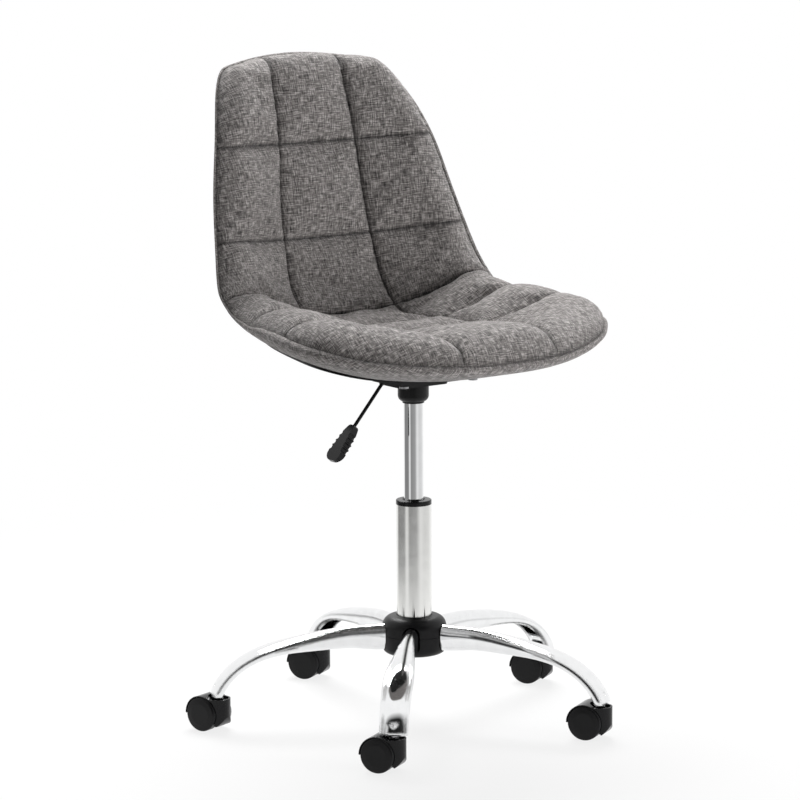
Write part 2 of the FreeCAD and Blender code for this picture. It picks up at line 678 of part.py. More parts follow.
def make_hood(name):
    """Moulded hood in its own place: stem on the Z axis, axle at +X."""
    hood = new_body(name)
    inner = "wheel_radius + hood_gap"
    outer = f"( {inner} + hood_wall )"
    meet = f"caster_trail - sqrt( {outer} ^ 2 - ( hood_top - wheel_radius ) ^ 2 )"
    bumper_top = "wheel_radius + 12"
    bumper_foot = "caster_trail - wheel_radius"

    side = new_sketch(hood, "XZ_Plane", "Side")
    outline(side, [
        ("caster_trail", f"wheel_radius + {outer}", outer, -1), (meet, "hood_top", outer, -1),
        ("0 - collar_radius + 1", "hood_top"), ("0 - collar_radius", "hood_top - 1"),
        ("0 - collar_radius", bumper_top), (bumper_foot, "8.5", "bumper_round", -1), (f"{bumper_foot} + 2", "10"),
        ("caster_trail - 8", "wheel_radius - 7"), ("caster_trail + 8", "wheel_radius - 7"),
        (f"caster_trail + {outer} - 2", "wheel_radius - 1"), (f"caster_trail + {outer}", "wheel_radius"),
    ])
    pad(hood, side, "2 * hood_half", "SideBody", both_ways=True)

    plan = new_sketch(hood, "XY_Plane", "Plan")
    far = f"caster_trail + {outer} + 1"
    rectangle(plan, "0 - 2 * collar_radius", "0 - 2 * hood_half", f"{far} + 5", "2 * hood_half")
    outline(plan, [
        (far, "0 - hood_half"), (far, "hood_half"), ("9", "hood_half"), ("0", "collar_radius"),
        ("0 - collar_radius", "0", "collar_radius", -1), ("0", "0 - collar_radius", "collar_radius", -1),
        ("9", "0 - hood_half"),
    ])
    pocket(hood, plan, "3 * hood_top", "PlanTrim", both_ways=True)

    disc = new_sketch(hood, "XZ_Plane", "WheelSpace", "web_half")
    circle(disc, "caster_trail", "wheel_radius", inner)
    wheel_space = pocket(hood, disc, "2 * hood_half", "WheelSpaceCut", reverse=True)
    mirror(hood, [wheel_space], "OtherSide")

    mouth = new_sketch(hood, "XY_Plane", "Mouth", "hood_top + 6")
    circle(mouth, "0", "0", "collar_radius - collar_wall")
    pocket(hood, mouth, "6", "MouthCut")
    recess = new_sketch(hood, "XY_Plane", "Recess", "hood_top")
    circle(recess, "0", "0", "collar_radius - collar_wall")
    circle(recess, "0", "0", "stem_pin_radius + 3")
    pocket(hood, recess, "hood_recess", "RecessCut")
    stem_hole = new_sketch(hood, "XY_Plane", "StemHole", "hood_top + 1")
    circle(stem_hole, "0", "0", "stem_pin_radius + running_gap")
    pocket(hood, stem_hole, "18.5", "StemHoleCut")
    axle_hole = new_sketch(hood, "XZ_Plane", "AxleHole")
    circle(axle_hole, "caster_trail", "wheel_radius", "axle_radius")
    pocket(hood, axle_hole, "2 * hood_half", "AxleHoleCut", both_ways=True)
    return hood


def make_wheel(name):
    """Wheel round the Z axis; its height is the distance from the caster's centre plane."""
    wheel = new_body(name)
    inner = "web_half + free_gap"
    bore = "axle_radius + running_gap"
    edge = "wheel_face - wheel_dome"
    revolve(wheel, [
        (bore, inner), ("wheel_hub", inner), ("wheel_hub", "wheel_face - 4"), ("wheel_rim", "wheel_face - 4"),
        ("wheel_rim", f"{inner} + 0.8"), ("wheel_radius - 0.6", f"{inner} + 0.8"),
        ("wheel_radius", f"{inner} + 1.4"), ("wheel_radius", f"{edge} - wheel_round"),
        ("wheel_radius - wheel_round", edge, "wheel_round", -1), ("wheel_flat", "wheel_face"), ("0", "wheel_face"),
        ("0", "wheel_face - 2"), (bore, "wheel_face - 2"),
    ])
    return wheel


def make_axle(name):
    axle = new_body(name)
    half = "wheel_face - 2.5"
    sketch = new_sketch(axle, "XZ_Plane", "Section")
    circle(sketch, "caster_trail", "wheel_radius", "axle_radius")
    pad(axle, sketch, f"2 * ( {half} )", "Shaft", both_ways=True)
    return axle


def make_casters():
    for index, trail in enumerate(TRAILS):
        number = index + 1
        place = rotated(size("caster_circle"), size("base_turn") + 360 * index / size("arm_count"))
        make_stem(f"caster_{number}_stem").Placement = Placement(place, Rotation())
        caster = Placement(place, Rotation(Vector(0, 0, 1), trail))
        make_hood(f"caster_{number}_hood").Placement = caster
        make_axle(f"caster_{number}_axle").Placement = caster
        hub = Vector(size("caster_trail"), 0, size("wheel_radius"))
        for side, turn in (("left", -90), ("right", 90)):
            wheel = make_wheel(f"caster_{number}_wheel_{side}")
            wheel.Placement = caster.multiply(Placement(hub, Rotation(Vector(1, 0, 0), turn)))


# ---------------------------------------------------------------------------------------------------------------
# Seat plate: pressed steel with a pan for the lever, held by four bolts
# ---------------------------------------------------------------------------------------------------------------


def make_seat_plate():
    plate = new_body("seat_plate")
    flange = new_sketch(plate, "XY_Plane", "Flange", "plate_top - plate_thick")
    rounded_rectangle(flange, "plate_width / 2", "plate_width / 2", "plate_corner")
    pad(plate, flange, "plate_thick", "FlangeBody")
    pan = new_sketch(plate, "XY_Plane", "Pan", "plate_top - pan_depth")
    rounded_rectangle(pan, "pan_length / 2", "pan_width / 2", "pan_corner")
    pad(plate, pan, "pan_depth", "PanBody")
    inside = new_sketch(plate, "XY_Plane", "PanInside", "plate_top")
    rounded_rectangle(inside, "( pan_length / 2 - plate_thick )", "( pan_width / 2 - plate_thick )",
                      "( pan_corner - plate_thick )")
    pocket(plate, inside, "pan_depth - plate_thick", "PanInsideCut")
    holes = new_sketch(plate, "XY_Plane", "Holes", "plate_top")
    circle(holes, "0", "0", "socket_radius - 1.5")
    for across in ("bolt_spacing / 2", "0 - bolt_spacing / 2"):
        for up in ("bolt_spacing / 2", "0 - bolt_spacing / 2"):
            circle(holes, across, up, "bolt_radius + 0.3")
    pocket(plate, holes, "2 * pan_depth", "HoleCut")
    notch = new_sketch(plate, "XY_Plane", "LeverNotch", "plate_top")
    half_notch = "( lever_eye + 2 )"
    rectangle(notch, "0 - plate_width", f"0 - {half_notch}", "0 - pan_length / 2 + 8", half_notch)
    pocket(plate, notch, "plate_top - lever_height + lever_radius + 1.5", "LeverNotchCut")


def make_bolts():
    bolts = []
    inserts = []
    half = size("bolt_spacing") / 2
    head_low = "plate_top - plate_thick - bolt_head_height"
    for index, (across, back) in enumerate(((1, 1), (-1, 1), (-1, -1), (1, -1)), start=1):
        place = Vector(across * half, back * half, 0)
        head = cylinder(f"BoltHead{index}", "bolt_head_radius", "bolt_head_height", place, head_low)
        shank = cylinder(f"BoltShank{index}", "bolt_radius", "bolt_length", place, "plate_top - plate_thick")
        key = doc.addObject("Part::Prism", f"BoltKey{index}")
        key.Polygon = 6
        key.setExpression("Circumradius", named("bolt_radius - 0.8"))
        key.setExpression("Height", named("bolt_head_height - 1.5"))
        key.Placement = Placement(place + Vector(0, 0, size(head_low)), Rotation())
        whole = boolean("Part::Fuse", f"Bolt{index}", head, shank)
        bolts.append(boolean("Part::Cut", f"SocketBolt{index}", whole, key))
        sleeve = cylinder(f"InsertBody{index}", "insert_radius", "bolt_length - plate_thick", place, "plate_top")
        bore = cylinder(f"InsertBore{index}", "bolt_radius", "bolt_length", place, "plate_top")
        inserts.append(boolean("Part::Cut", f"Insert{index}", sleeve, bore))
    for label, pieces in (("seat_bolts", bolts), ("threaded_inserts", inserts)):
        group = doc.addObject("Part::Compound", label)
        group.Links = pieces
        sub_parts.append(group)


def cylinder(name, radius, height, place, low):
    """Upright cylinder at a place, from the height low."""
    piece = doc.addObject("Part::Cylinder", name)
    piece.setExpression("Radius", named(radius))
    piece.setExpression("Height", named(height))
    piece.Placement = Placement(place, Rotation())
    piece.setExpression("Placement.Base.z", named(low))
    return piece


def boolean(kind, name, base, tool):
    result = doc.addObject(kind, name)
    result.Base = base
    result.Tool = tool
    return result


# ---------------------------------------------------------------------------------------------------------------
# Lever: a bent rod on a pin, whose inner end presses the release pin, and a finger paddle
# ---------------------------------------------------------------------------------------------------------------


def make_lever():
    drop = math.radians(size("lever_drop"))
    tangent = size("lever_bend") * math.tan(drop / 2)
    corner = Vector(-size("pivot_reach + lever_straight"), size("lever_height"), 0)
    outward = Vector(-math.cos(drop), -math.sin(drop), 0)
    inner_end = Vector(3, size("lever_height"), 0)
    bend_start = corner + Vector(tangent, 0, 0)
    bend_end = corner + outward * tangent
    outer_end = corner + outward * size("lever_outer + 0.4 * paddle_length")
    heart = bend_start - Vector(0, size("lever_bend"), 0)
    bend_middle = heart + Vector(-math.sin(drop / 2), math.cos(drop / 2), 0) * size("lever_bend")

    rod = new_body("lever_rod")
    path = new_sketch(rod, "XZ_Plane", "Path")
    path.addGeometry(Part.LineSegment(inner_end, bend_start), False)
    path.addGeometry(Part.Arc(bend_start, bend_middle, bend_end), False)
    path.addGeometry(Part.LineSegment(bend_end, outer_end), False)
    section = new_sketch(rod, "YZ_Plane", "Section", "3")
    circle(section, "0", "lever_height", "lever_radius")
    pipe = rod.newObject("PartDesign::AdditivePipe", "Rod")
    pipe.Profile = section
    pipe.Spine = (path, ["Edge1", "Edge2", "Edge3"])
    eye = new_sketch(rod, "XZ_Plane", "Eye")
    circle(eye, "0 - pivot_reach", "lever_height", "lever_eye")
    pad(rod, eye, "2 * lever_eye", "EyeBody", both_ways=True)
    pin_hole = new_sketch(rod, "XZ_Plane", "PinHole")
    circle(pin_hole, "0 - pivot_reach", "lever_height", "pin_radius + running_gap")
    pocket(rod, pin_hole, "4 * lever_eye", "PinHoleCut", both_ways=True)

    pin = new_body("lever_pin")
    pin_section = new_sketch(pin, "XZ_Plane", "Section")
    circle(pin_section, "0 - pivot_reach", "lever_height", "pin_radius")
    pad(pin, pin_section, "pin_length", "Shaft", both_ways=True)

    ears = []
    floor = size("plate_top - pan_depth + plate_thick")
    ear_top = size("lever_height + lever_eye + 0.6")
    ear_inside = size("lever_eye + 0.8")
    ear_thick = size("bracket_thick")
    ear_width = size("bracket_width")
    foot_width = size("bracket_foot")
    reach = size("pivot_reach")
    pin_hole_tool = Part.makeCylinder(size("pin_radius"), 60, Vector(-reach, -30, size("lever_height")), Vector(0, 1, 0))
    for side in (1, -1):
        corner_of_ear = Vector(-reach - ear_width / 2, 0, floor)
        wall = Part.makeBox(ear_width, ear_thick, ear_top - floor, corner_of_ear)
        foot = Part.makeBox(ear_width, foot_width, ear_thick, corner_of_ear)
        ear = wall.fuse(foot)
        if side < 0:
            ear = ear.mirror(Vector(), Vector(0, 1, 0))
        ear.translate(Vector(0, side * ear_inside, 0))
        ears.append(ear.cut(pin_hole_tool))
    new_feature("lever_bracket", Part.makeCompound(ears))

    paddle = new_body("lever_paddle")
    plan = new_sketch(paddle, "XY_Plane", "Plan")
    half_broad = "paddle_width / 2"
    half_narrow = "paddle_neck / 2"
    outline(plan, [
        ("2", f"0 - {half_narrow}"), ("paddle_length - 9", f"0 - {half_broad}", "paddle_side", -1),
        ("paddle_length", "0 - 5", "paddle_corner", -1), ("paddle_length", "5"),
        ("paddle_length - 9", half_broad, "paddle_corner", -1), ("2", half_narrow, "paddle_side", -1),
        ("0", f"{half_narrow} - 2"), ("0", f"2 - {half_narrow}"),
    ])
    pad(paddle, plan, "paddle_thick", "Body", both_ways=True)
    side_view = new_sketch(paddle, "XZ_Plane", "SideView")
    half_thick = "paddle_thick / 2"
    rectangle(side_view, "0 - 5", "0 - paddle_thick", "paddle_length + 5", "paddle_thick")
    outline(side_view, [
        ("0 - 1", "0 - 4"), ("paddle_length / 2", f"0 - {half_thick}", "130", -1),
        ("paddle_length + 1", "0 - 2.5", "130", -1), ("paddle_length + 1", "2.5"),
        ("paddle_length / 2", half_thick, "130", -1), ("0 - 1", "4", "130", -1),
    ])
    pocket(paddle, side_view, "2 * paddle_width", "SideTrim", both_ways=True)
    grooves = new_sketch(paddle, "XY_Plane", "Grooves")
    for along in (16, 24, 32, 40):
        edge = f"{half_narrow} + ( {half_broad} - {half_narrow} ) * {along} / paddle_length"
        circle(grooves, str(along), f"0 - ( {edge} ) - 0.75 * paddle_groove", "paddle_groove")
    groove_cut = pocket(paddle, grooves, "2 * paddle_thick", "GrooveCut", both_ways=True)
    mirror(paddle, [groove_cut], "OtherGrooves")
    bore = new_sketch(paddle, "YZ_Plane", "Bore")
    circle(bore, "0", "0", "lever_radius")
    pocket(paddle, bore, "0.4 * paddle_length", "BoreCut", reverse=True)
    start = corner + outward * size("lever_outer")
    turn = Rotation(Vector(0, 1, 0), 180 - size("lever_drop"))
    paddle.Placement = Placement(Vector(start.x, 0, start.y), turn)


# ---------------------------------------------------------------------------------------------------------------
# Bucket: a moulded shell whose sides turn up, padded inside and upholstered behind. Places on it are given by
# across (-1 to 1 between the side edges), share (0 at the front edge, 1 at the top) and proud (along the normal)
# ---------------------------------------------------------------------------------------------------------------

STEP_COUNT = 19
ACROSS_STEPS = 15
OVERHANG = 1.08
END_OVERHANG = 14.0


def bucket_curves():
    """Along the bucket: its profile, half width with rise of the sides, and the pad's two thicknesses."""
    profile_points = []
    form_points = []
    pad_points = []
    for station, *rest in STATIONS:
        profile_points.append(Vector(0, size(station + "_depth"), size(station + "_height")))
        form_points.append(Vector(size(station + "_half"), size(station + "_rise"), 0))
        pad_points.append(Vector(size(station + "_pad"), size(station + "_pad_side"), 0))
    parameters = [0.0]
    for before, after in zip(profile_points, profile_points[1:]):
        parameters.append(parameters[-1] + (after - before).Length)
    parameters = [value / parameters[-1] for value in parameters]
    curves = []
    for points in (profile_points, form_points, pad_points):
        curve = Part.BSplineCurve()
        curve.interpolate(Points=points, Parameters=parameters)
        curves.append(curve)
    return curves


PROFILE, FORM, PADDING = bucket_curves()
BUCKET_LENGTH = PROFILE.length()
EXPONENT = size("crown_exponent")
FULLNESS = size("pad_fullness")


def parameter_at(share):
    """Parameter of the bucket's curves at a share of its length, kept within its ends."""
    within = min(max(share, 0.0), 1.0)
    return PROFILE.parameterAtDistance(within * BUCKET_LENGTH, PROFILE.FirstParameter)


def pad_surface(across, share):
    """The pad's height above the rim surface: full in the middle and thinner at the sides."""
    middle, side, unused = PADDING.value(parameter_at(share))
    return side + (middle - side) * (1 - abs(across) ** FULLNESS)


def parallel(distance):
    """A surface at one distance from the rim surface."""
    def height(across, share):
        return distance
    return height


def bucket_place(across, share, proud):
    """Point of the bucket; beyond the front and top edges it goes straight on."""
    within = min(max(share, 0.0), 1.0)
    parameter = parameter_at(share)
    along = PROFILE.tangent(parameter)[0]
    middle = PROFILE.value(parameter) + along * ((share - within) * BUCKET_LENGTH)
    inward = Vector(0, -along.z, along.y)
    half, rise, unused = FORM.value(parameter)
    height = rise * abs(across) ** EXPONENT
    slope = math.copysign(rise * EXPONENT * abs(across) ** (EXPONENT - 1) / half, across)
    normal = (inward - Vector(slope, 0, 0)).normalize()
    return middle + Vector(across * half, 0, 0) + inward * height + normal * proud


def layer(upper, lower, first=0.0, last=1.0):
    """Untrimmed layer of the bucket between two surfaces, given as heights above its rim surface."""
    margin = END_OVERHANG / BUCKET_LENGTH
    steps = [OVERHANG * (2 * index / (ACROSS_STEPS - 1) - 1) for index in range(ACROSS_STEPS)]
    sections = []
    for step in range(STEP_COUNT):
        share = first - margin + (last - first + 2 * margin) * step / (STEP_COUNT - 1)
        above = even_spline([bucket_place(across, share, upper(across, share)) for across in steps])
        below = even_spline([bucket_place(across, share, lower(across, share)) for across in reversed(steps)])
        side_down = Part.LineSegment(above.EndPoint, below.StartPoint)
        side_up = Part.LineSegment(below.EndPoint, above.StartPoint)
        sections.append(Part.Wire([above.toShape(), side_down.toShape(), below.toShape(), side_up.toShape()]))
    return Part.makeLoft(sections, True, False)


def bucket_edge(inset):
    """Places (across, share) round the rim, moved in by the inset."""
    straight_steps = 4
    corner_steps = 6
    side_steps = 6
    quarter = []
    for near_end, wide, long, crown, is_top in (
        (0.07, size("lip_corner_width"), size("lip_corner_length"), size("lip_crown"), False),
        (0.93, size("top_corner_width"), size("top_corner_length"), size("top_crown"), True),
    ):
        half = FORM.value(parameter_at(near_end)).x
        places = [((half - wide) / half * step / straight_steps, 0.0) for step in range(straight_steps)]
        for step in range(corner_steps + 1):
            angle = math.pi / 2 * step / corner_steps
            places.append(((half - wide + wide * math.sin(angle)) / half, long * (1 - math.cos(angle))))
        ends = []
        for across, drop in places:
            distance = (crown * across ** 2 + drop + inset) / BUCKET_LENGTH
            ends.append((across * (1 - inset / half), 1 - distance if is_top else distance))
        quarter.append(ends)
    front, top = quarter
    edge_across, side_low = front[-1]
    side_high = top[-1][1]
    side = [(edge_across, side_low + (side_high - side_low) * step / side_steps) for step in range(1, side_steps)]
    right = front + side + top[::-1]
    left = [(-across, share) for across, share in right[::-1]]
    return right + left[1:-1]


def trimmed(solid, places, heart):
    """The part of a layer inside a rim that stands square to the bucket's surface."""
    reach = 40.0
    rims = []
    for proud in (reach, -reach):
        rim = even_spline([bucket_place(across, share, proud) for across, share in places], closed=True)
        rims.append(rim.toShape())
    wall = Part.makeRuledSurface(rims[0], rims[1])
    pieces, unused = solid.generalFuse([wall])
    return next(piece for piece in pieces.Solids if piece.isInside(heart, 0.01, True))


def cover_edge():
    """Places round the underside cover: a rectangle of the bucket's surface with round corners."""
    half = size("cover_across")
    front = size("cover_front")
    back = size("cover_back")
    corner_across = 0.22
    corner_share = 0.07
    corner_steps = 4
    straight_steps = 8
    corners = []
    for side, end, turn in ((1, front, -90), (1, back, 0), (-1, back, 90), (-1, front, 180)):
        heart_across = side * (half - corner_across)
        heart_share = end + corner_share if end == front else end - corner_share
        corner = []
        for step in range(corner_steps + 1):
            angle = math.radians(turn + 90 * step / corner_steps)
            corner.append((heart_across + corner_across * math.cos(angle),
                           heart_share + corner_share * math.sin(angle)))
        corners.append(corner)
    places = []
    for corner, following in zip(corners, corners[1:] + corners[:1]):
        places += corner
        (across, share), (next_across, next_share) = corner[-1], following[0]
        for step in range(1, straight_steps):
            part = step / straight_steps
            places.append((across + (next_across - across) * part, share + (next_share - share) * part))
    return places


def rim_edge(solid, places, surface):
    """The closed edge of a trimmed layer on one of its two surfaces."""
    across, share = places[0]
    corner = Part.Vertex(bucket_place(across, share, surface(across, share)))
    closed = [edge for edge in solid.Edges if edge.isClosed()]
    return min(closed, key=lambda edge: edge.distToShape(corner)[0])


def trimmed_layer(upper, lower, places, share):
    """Layer inside a rim; it is found by a point of its middle line at the share."""
    heart = bucket_place(0.0, share, (upper(0.0, share) + lower(0.0, share)) / 2)
    return trimmed(layer(upper, lower), places, heart)


def make_bucket():
    pad_low = parallel(size("glue_gap - shell_top"))
    shell_top = parallel(size("0 - shell_top"))
    shell_low = parallel(size("0 - shell_top - shell_thick"))
    rear_low = parallel(size("0 - rear_depth"))
    cover_low = parallel(size("0 - rear_depth - cover_thick"))
    block_top = parallel(size("0 - shell_top - shell_thick - glue_gap"))
    behind_seat = 0.5
    under_seat = 0.3

    rim = bucket_edge(0.0)
    pad_body = trimmed_layer(pad_surface, pad_low, rim, behind_seat)
    pad_body = pad_body.makeFillet(size("pad_edge"), [rim_edge(pad_body, rim, pad_surface)])
    new_feature("seat_pad", pad_body)
    shell = trimmed_layer(shell_top, shell_low, bucket_edge(size("shell_inset")), behind_seat)
    new_feature("seat_shell", shell)

    width = size("block_width")
    base = size("plate_top")
    thick = 60
    block = Part.makeBox(width, width, thick, Vector(-width / 2, -width / 2, base))
    block = block.cut(layer(parallel(thick), block_top))
    half = size("bolt_spacing") / 2
    for across in (half, -half):
        for back in (half, -half):
            block = block.cut(Part.makeCylinder(size("insert_radius"), thick, Vector(across, back, base - 1)))
    new_feature("mounting_block", block)

    open_width = width + 2 * size("cover_gap")
    window = Part.makeBox(open_width, open_width, thick, Vector(-open_width / 2, -open_width / 2, base - thick / 2))
    rear = trimmed_layer(shell_low, rear_low, rim, behind_seat)
    rear = rear.makeFillet(size("rear_edge"), [rim_edge(rear, rim, rear_low)])
    new_feature("rear_upholstery", rear.cut(window))
    cover = trimmed_layer(rear_low, cover_low, cover_edge(), under_seat)
    new_feature("underside_cover", cover.cut(window))


# ---------------------------------------------------------------------------------------------------------------
# The chair: make every sub-part, check it, then write it
# ---------------------------------------------------------------------------------------------------------------

make_column()
make_rod()
make_cylinder()
make_hub()
make_arms()
make_casters()
make_seat_plate()
make_bolts()
make_lever()
make_bucket()
doc.recompute()

faults = []
for item in doc.Objects:
    if "Invalid" in item.State or "Error" in item.State:
        faults.append(f"{item.Label}: {item.State}")
for cut in cuts:
    if cut.Shape.Volume >= cut.BaseFeature.Shape.Volume:
        faults.append(f"{cut.Label}: removes nothing")
for part in sub_parts:
    if part.Shape.isNull() or not part.Shape.isValid() or not part.Shape.Solids:
        faults.append(f"{part.Label}: no valid solid")
if faults:
    raise RuntimeError("; ".join(faults))

os.makedirs("parts", exist_ok=True)
for part in sub_parts:
    part.Shape.exportStep(f"parts/{part.Label}.step")
print(f"{len(sub_parts)} sub-parts written")
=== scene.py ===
# %% [markdown]
# # A quilted bucket chair on a gas lift
# This lesson dresses a swivel chair whose hard pieces already exist as an exact model. The chrome base,
# the lift and the casters keep their shapes and get finishes. The padded bucket is the soft piece, so it is
# built here: a fabric skin with sewn channels, puffed up by a short cloth simulation.

# %% Load the chair and keep its size
import json
import math

import bpy
from mathutils import Matrix, Vector, geometry, kdtree, noise


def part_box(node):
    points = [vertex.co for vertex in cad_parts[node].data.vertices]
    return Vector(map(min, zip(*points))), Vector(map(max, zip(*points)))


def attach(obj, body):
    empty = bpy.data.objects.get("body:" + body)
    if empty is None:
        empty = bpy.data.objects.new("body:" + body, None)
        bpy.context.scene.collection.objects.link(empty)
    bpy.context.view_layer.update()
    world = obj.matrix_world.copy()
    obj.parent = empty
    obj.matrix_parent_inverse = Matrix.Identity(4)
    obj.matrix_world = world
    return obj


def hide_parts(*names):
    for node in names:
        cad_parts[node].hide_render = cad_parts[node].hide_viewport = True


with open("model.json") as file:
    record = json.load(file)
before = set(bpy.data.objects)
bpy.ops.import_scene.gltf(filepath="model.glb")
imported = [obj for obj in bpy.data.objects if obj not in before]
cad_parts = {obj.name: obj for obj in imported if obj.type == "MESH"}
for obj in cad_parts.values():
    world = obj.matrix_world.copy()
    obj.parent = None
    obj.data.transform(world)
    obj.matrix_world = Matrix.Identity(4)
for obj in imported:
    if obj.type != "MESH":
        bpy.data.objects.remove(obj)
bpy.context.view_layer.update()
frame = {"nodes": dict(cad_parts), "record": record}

# %% [markdown]
# ## Camera
# A chair like this is photographed from a little above seat height with a long lens, which keeps upright
# lines upright. The camera is placed by a heading round the chair, a distance and a height, and its axes
# are written out, because that is easier to reason about than three Euler angles.

# %% Camera
CAMERA_HEADING = 0.633
CAMERA_DISTANCE = 5.1399
CAMERA_HEIGHT = 1.3436
CAMERA_PITCH = 0.1698
CAMERA_YAW = 0.00365
CAMERA_ROLL = -0.005
LENS_MM = 166.5


def turned_camera():
    """Matrix of a camera that looks at the column from the chair's front right."""
    place = Vector((0, -CAMERA_DISTANCE, CAMERA_HEIGHT))
    cos_pitch, sin_pitch = math.cos(CAMERA_PITCH), math.sin(CAMERA_PITCH)
    cos_yaw, sin_yaw = math.cos(CAMERA_YAW), math.sin(CAMERA_YAW)
    forward = Vector((-sin_yaw * cos_pitch, cos_yaw * cos_pitch, -sin_pitch))
    level_right = Vector((cos_yaw, sin_yaw, 0))
    level_up = level_right.cross(forward)
    right = level_right * math.cos(CAMERA_ROLL) + level_up * math.sin(CAMERA_ROLL)
    up = level_up * math.cos(CAMERA_ROLL) - level_right * math.sin(CAMERA_ROLL)
    axes = Matrix((right, up, -forward)).transposed().to_4x4()
    return Matrix.Rotation(-CAMERA_HEADING, 4, "Z") @ Matrix.Translation(place) @ axes


camera_data = bpy.data.cameras.new("studio_camera")
camera_data.lens = LENS_MM
camera_data.sensor_width = 36.0
camera_data.clip_end = 100.0
camera = bpy.data.objects.new("studio_camera", camera_data)
camera.matrix_world = turned_camera()
bpy.context.scene.collection.objects.link(camera)
bpy.context.scene.camera = camera
bpy.context.scene.view_settings.view_transform = "Standard"
print("camera at", [round(value, 3) for value in camera.matrix_world.translation])

# %% [markdown]
# ## Helpers for materials
# Every finish here is a small graph of nodes on one Principled shader. A helper that adds a node, sets its
# values and returns it keeps each recipe short enough to read in one go.

# %% Material helpers
def new_material(name, **constants):
    """A material with a Principled shader whose plain values are set on its own sockets."""
    material = bpy.data.materials.new(name)
    material.use_nodes = True
    shader = material.node_tree.nodes["Principled BSDF"]
    for socket, value in constants.items():
        shader.inputs[socket.replace("_", " ")].default_value = value
    return material, material.node_tree, shader


def add_node(tree, kind, **settings):
    node = tree.nodes.new("ShaderNode" + kind)
    for key, value in settings.items():
        if key in node.inputs:
            node.inputs[key].default_value = value
        else:
            setattr(node, key, value)
    return node


def math_node(tree, operation, first, second):
    node = add_node(tree, "Math", operation=operation)
    for socket, value in zip(node.inputs, (first, second)):
        if isinstance(value, bpy.types.NodeSocket):
            tree.links.new(value, socket)
        else:
            socket.default_value = value
    return node.outputs[0]


def scaled_noise(tree, vector, stretch, detail=2.0, roughness=0.5):
    """Noise read through a vector that is stretched differently along each axis."""
    mapping = add_node(tree, "Mapping")
    mapping.inputs["Scale"].default_value = stretch
    tree.links.new(vector, mapping.inputs["Vector"])
    texture = add_node(tree, "TexNoise", Scale=1.0, Detail=detail, Roughness=roughness)
    tree.links.new(mapping.outputs["Vector"], texture.inputs["Vector"])
    return texture.outputs["Fac"]


def ramp(tree, factor, stops):
    """Colour ramp through (position, grey or colour) stops."""
    node = add_node(tree, "ValToRGB")
    elements = node.color_ramp.elements
    while len(elements) < len(stops):
        elements.new(0.5)
    for element, (position, colour) in zip(elements, stops):
        element.position = position
        element.color = colour if isinstance(colour, tuple) else (colour, colour, colour, 1)
    tree.links.new(factor, node.inputs["Fac"])
    return node.outputs["Color"]


def bump(tree, shader, height, distance, strength=1.0):
    node = add_node(tree, "Bump", Distance=distance, Strength=strength)
    tree.links.new(height, node.inputs["Height"])
    tree.links.new(node.outputs["Normal"], shader.inputs["Normal"])
    return node

# %% [markdown]
# ## Linen-look upholstery cloth
# The cover is a flat weave of uneven yarns spun from dark and pale fibres. What the eye sees is not the
# single thread, which is about a millimetre wide, but slubs: short dark and pale dashes that run both ways.
# Two noises stretched along the two yarn directions give the dashes, a fine wave gives the raised threads,
# and both read the flat cut of the cloth from the mesh's UVs, so that the weave follows the bucket.

# %% Upholstery cloth
THREAD_PITCH = 0.0013
DASHES_ACROSS = (70, 640, 1)
DASHES_ALONG = (640, 70, 1)
PATCHES = (130, 130, 1)
# Painted shade: the weave's colour is darkened towards this along the seams and the rim, where the creases lie
# in shadow
PAINTED_SEAM_SHADE = (0.04, 0.038, 0.037, 1)


def weave_cloth(name, dark, middle, pale):
    material, tree, shader = new_material(
        name, Roughness=0.9, Sheen_Weight=0.18, Sheen_Roughness=0.5, Specular_IOR_Level=0.25
    )
    flat_cut = add_node(tree, "UVMap").outputs["UV"]
    across = scaled_noise(tree, flat_cut, DASHES_ACROSS, roughness=0.6)
    along = scaled_noise(tree, flat_cut, DASHES_ALONG, roughness=0.6)
    patches = scaled_noise(tree, flat_cut, PATCHES)
    dashes = math_node(tree, "ADD", across, along)
    mixed = math_node(tree, "MULTIPLY_ADD", dashes, 0.44)
    tree.links.new(math_node(tree, "MULTIPLY", patches, 0.12), mixed.node.inputs[2])
    colour = ramp(tree, mixed, [(0.37, dark), (0.5, middle), (0.63, pale)])
    # The seam attribute multiplies the weave by a dark grey along the seams and the rim: painted shade in the
    # creases
    stitched = add_node(tree, "Attribute", attribute_name="seam").outputs["Fac"]
    crease = math_node(tree, "MULTIPLY", math_node(tree, "POWER", stitched, 1.4), 0.85)
    shaded = add_node(tree, "Mix", data_type="RGBA", blend_type="MULTIPLY")
    tree.links.new(crease, shaded.inputs[0])
    tree.links.new(colour, shaded.inputs[6])
    shaded.inputs[7].default_value = PAINTED_SEAM_SHADE
    tree.links.new(shaded.outputs[2], shader.inputs["Base Color"])

    parts = add_node(tree, "SeparateXYZ")
    tree.links.new(flat_cut, parts.inputs[0])
    threads = []
    for axis in ("X", "Y"):
        turns = math_node(tree, "MULTIPLY", parts.outputs[axis], 2 * math.pi / THREAD_PITCH)
        threads.append(math_node(tree, "SINE", turns, 0.0))
    woven = math_node(tree, "MULTIPLY", threads[0], threads[1])
    relief = math_node(tree, "ADD", math_node(tree, "MULTIPLY", woven, 0.25), dashes)
    bump(tree, shader, relief, 0.0006)
    return material


cloth = weave_cloth(
    "grey_linen_weave",
    (0.032, 0.030, 0.030, 1),
    (0.19, 0.176, 0.170, 1),
    (0.54, 0.51, 0.495, 1),
)
print("cloth threads are", THREAD_PITCH * 1000, "mm apart")

# %% [markdown]
# ## Chrome, steel and plastics
# Chrome is a mirror over polished steel. Its look comes from what it reflects, so the finish only needs a
# faint cloud in its roughness. The pressed arms have softly rounded edges, which a bevel in the shader gives
# without a change to their shape. Moulded plastics have a fine grain, and the glossier ones a sharp shine.

# %% Hard finishes
def object_point(tree):
    return add_node(tree, "TexCoord").outputs["Object"]


CHROME = (0.90, 0.905, 0.91, 1)
ARM_ROUNDING = 0.008


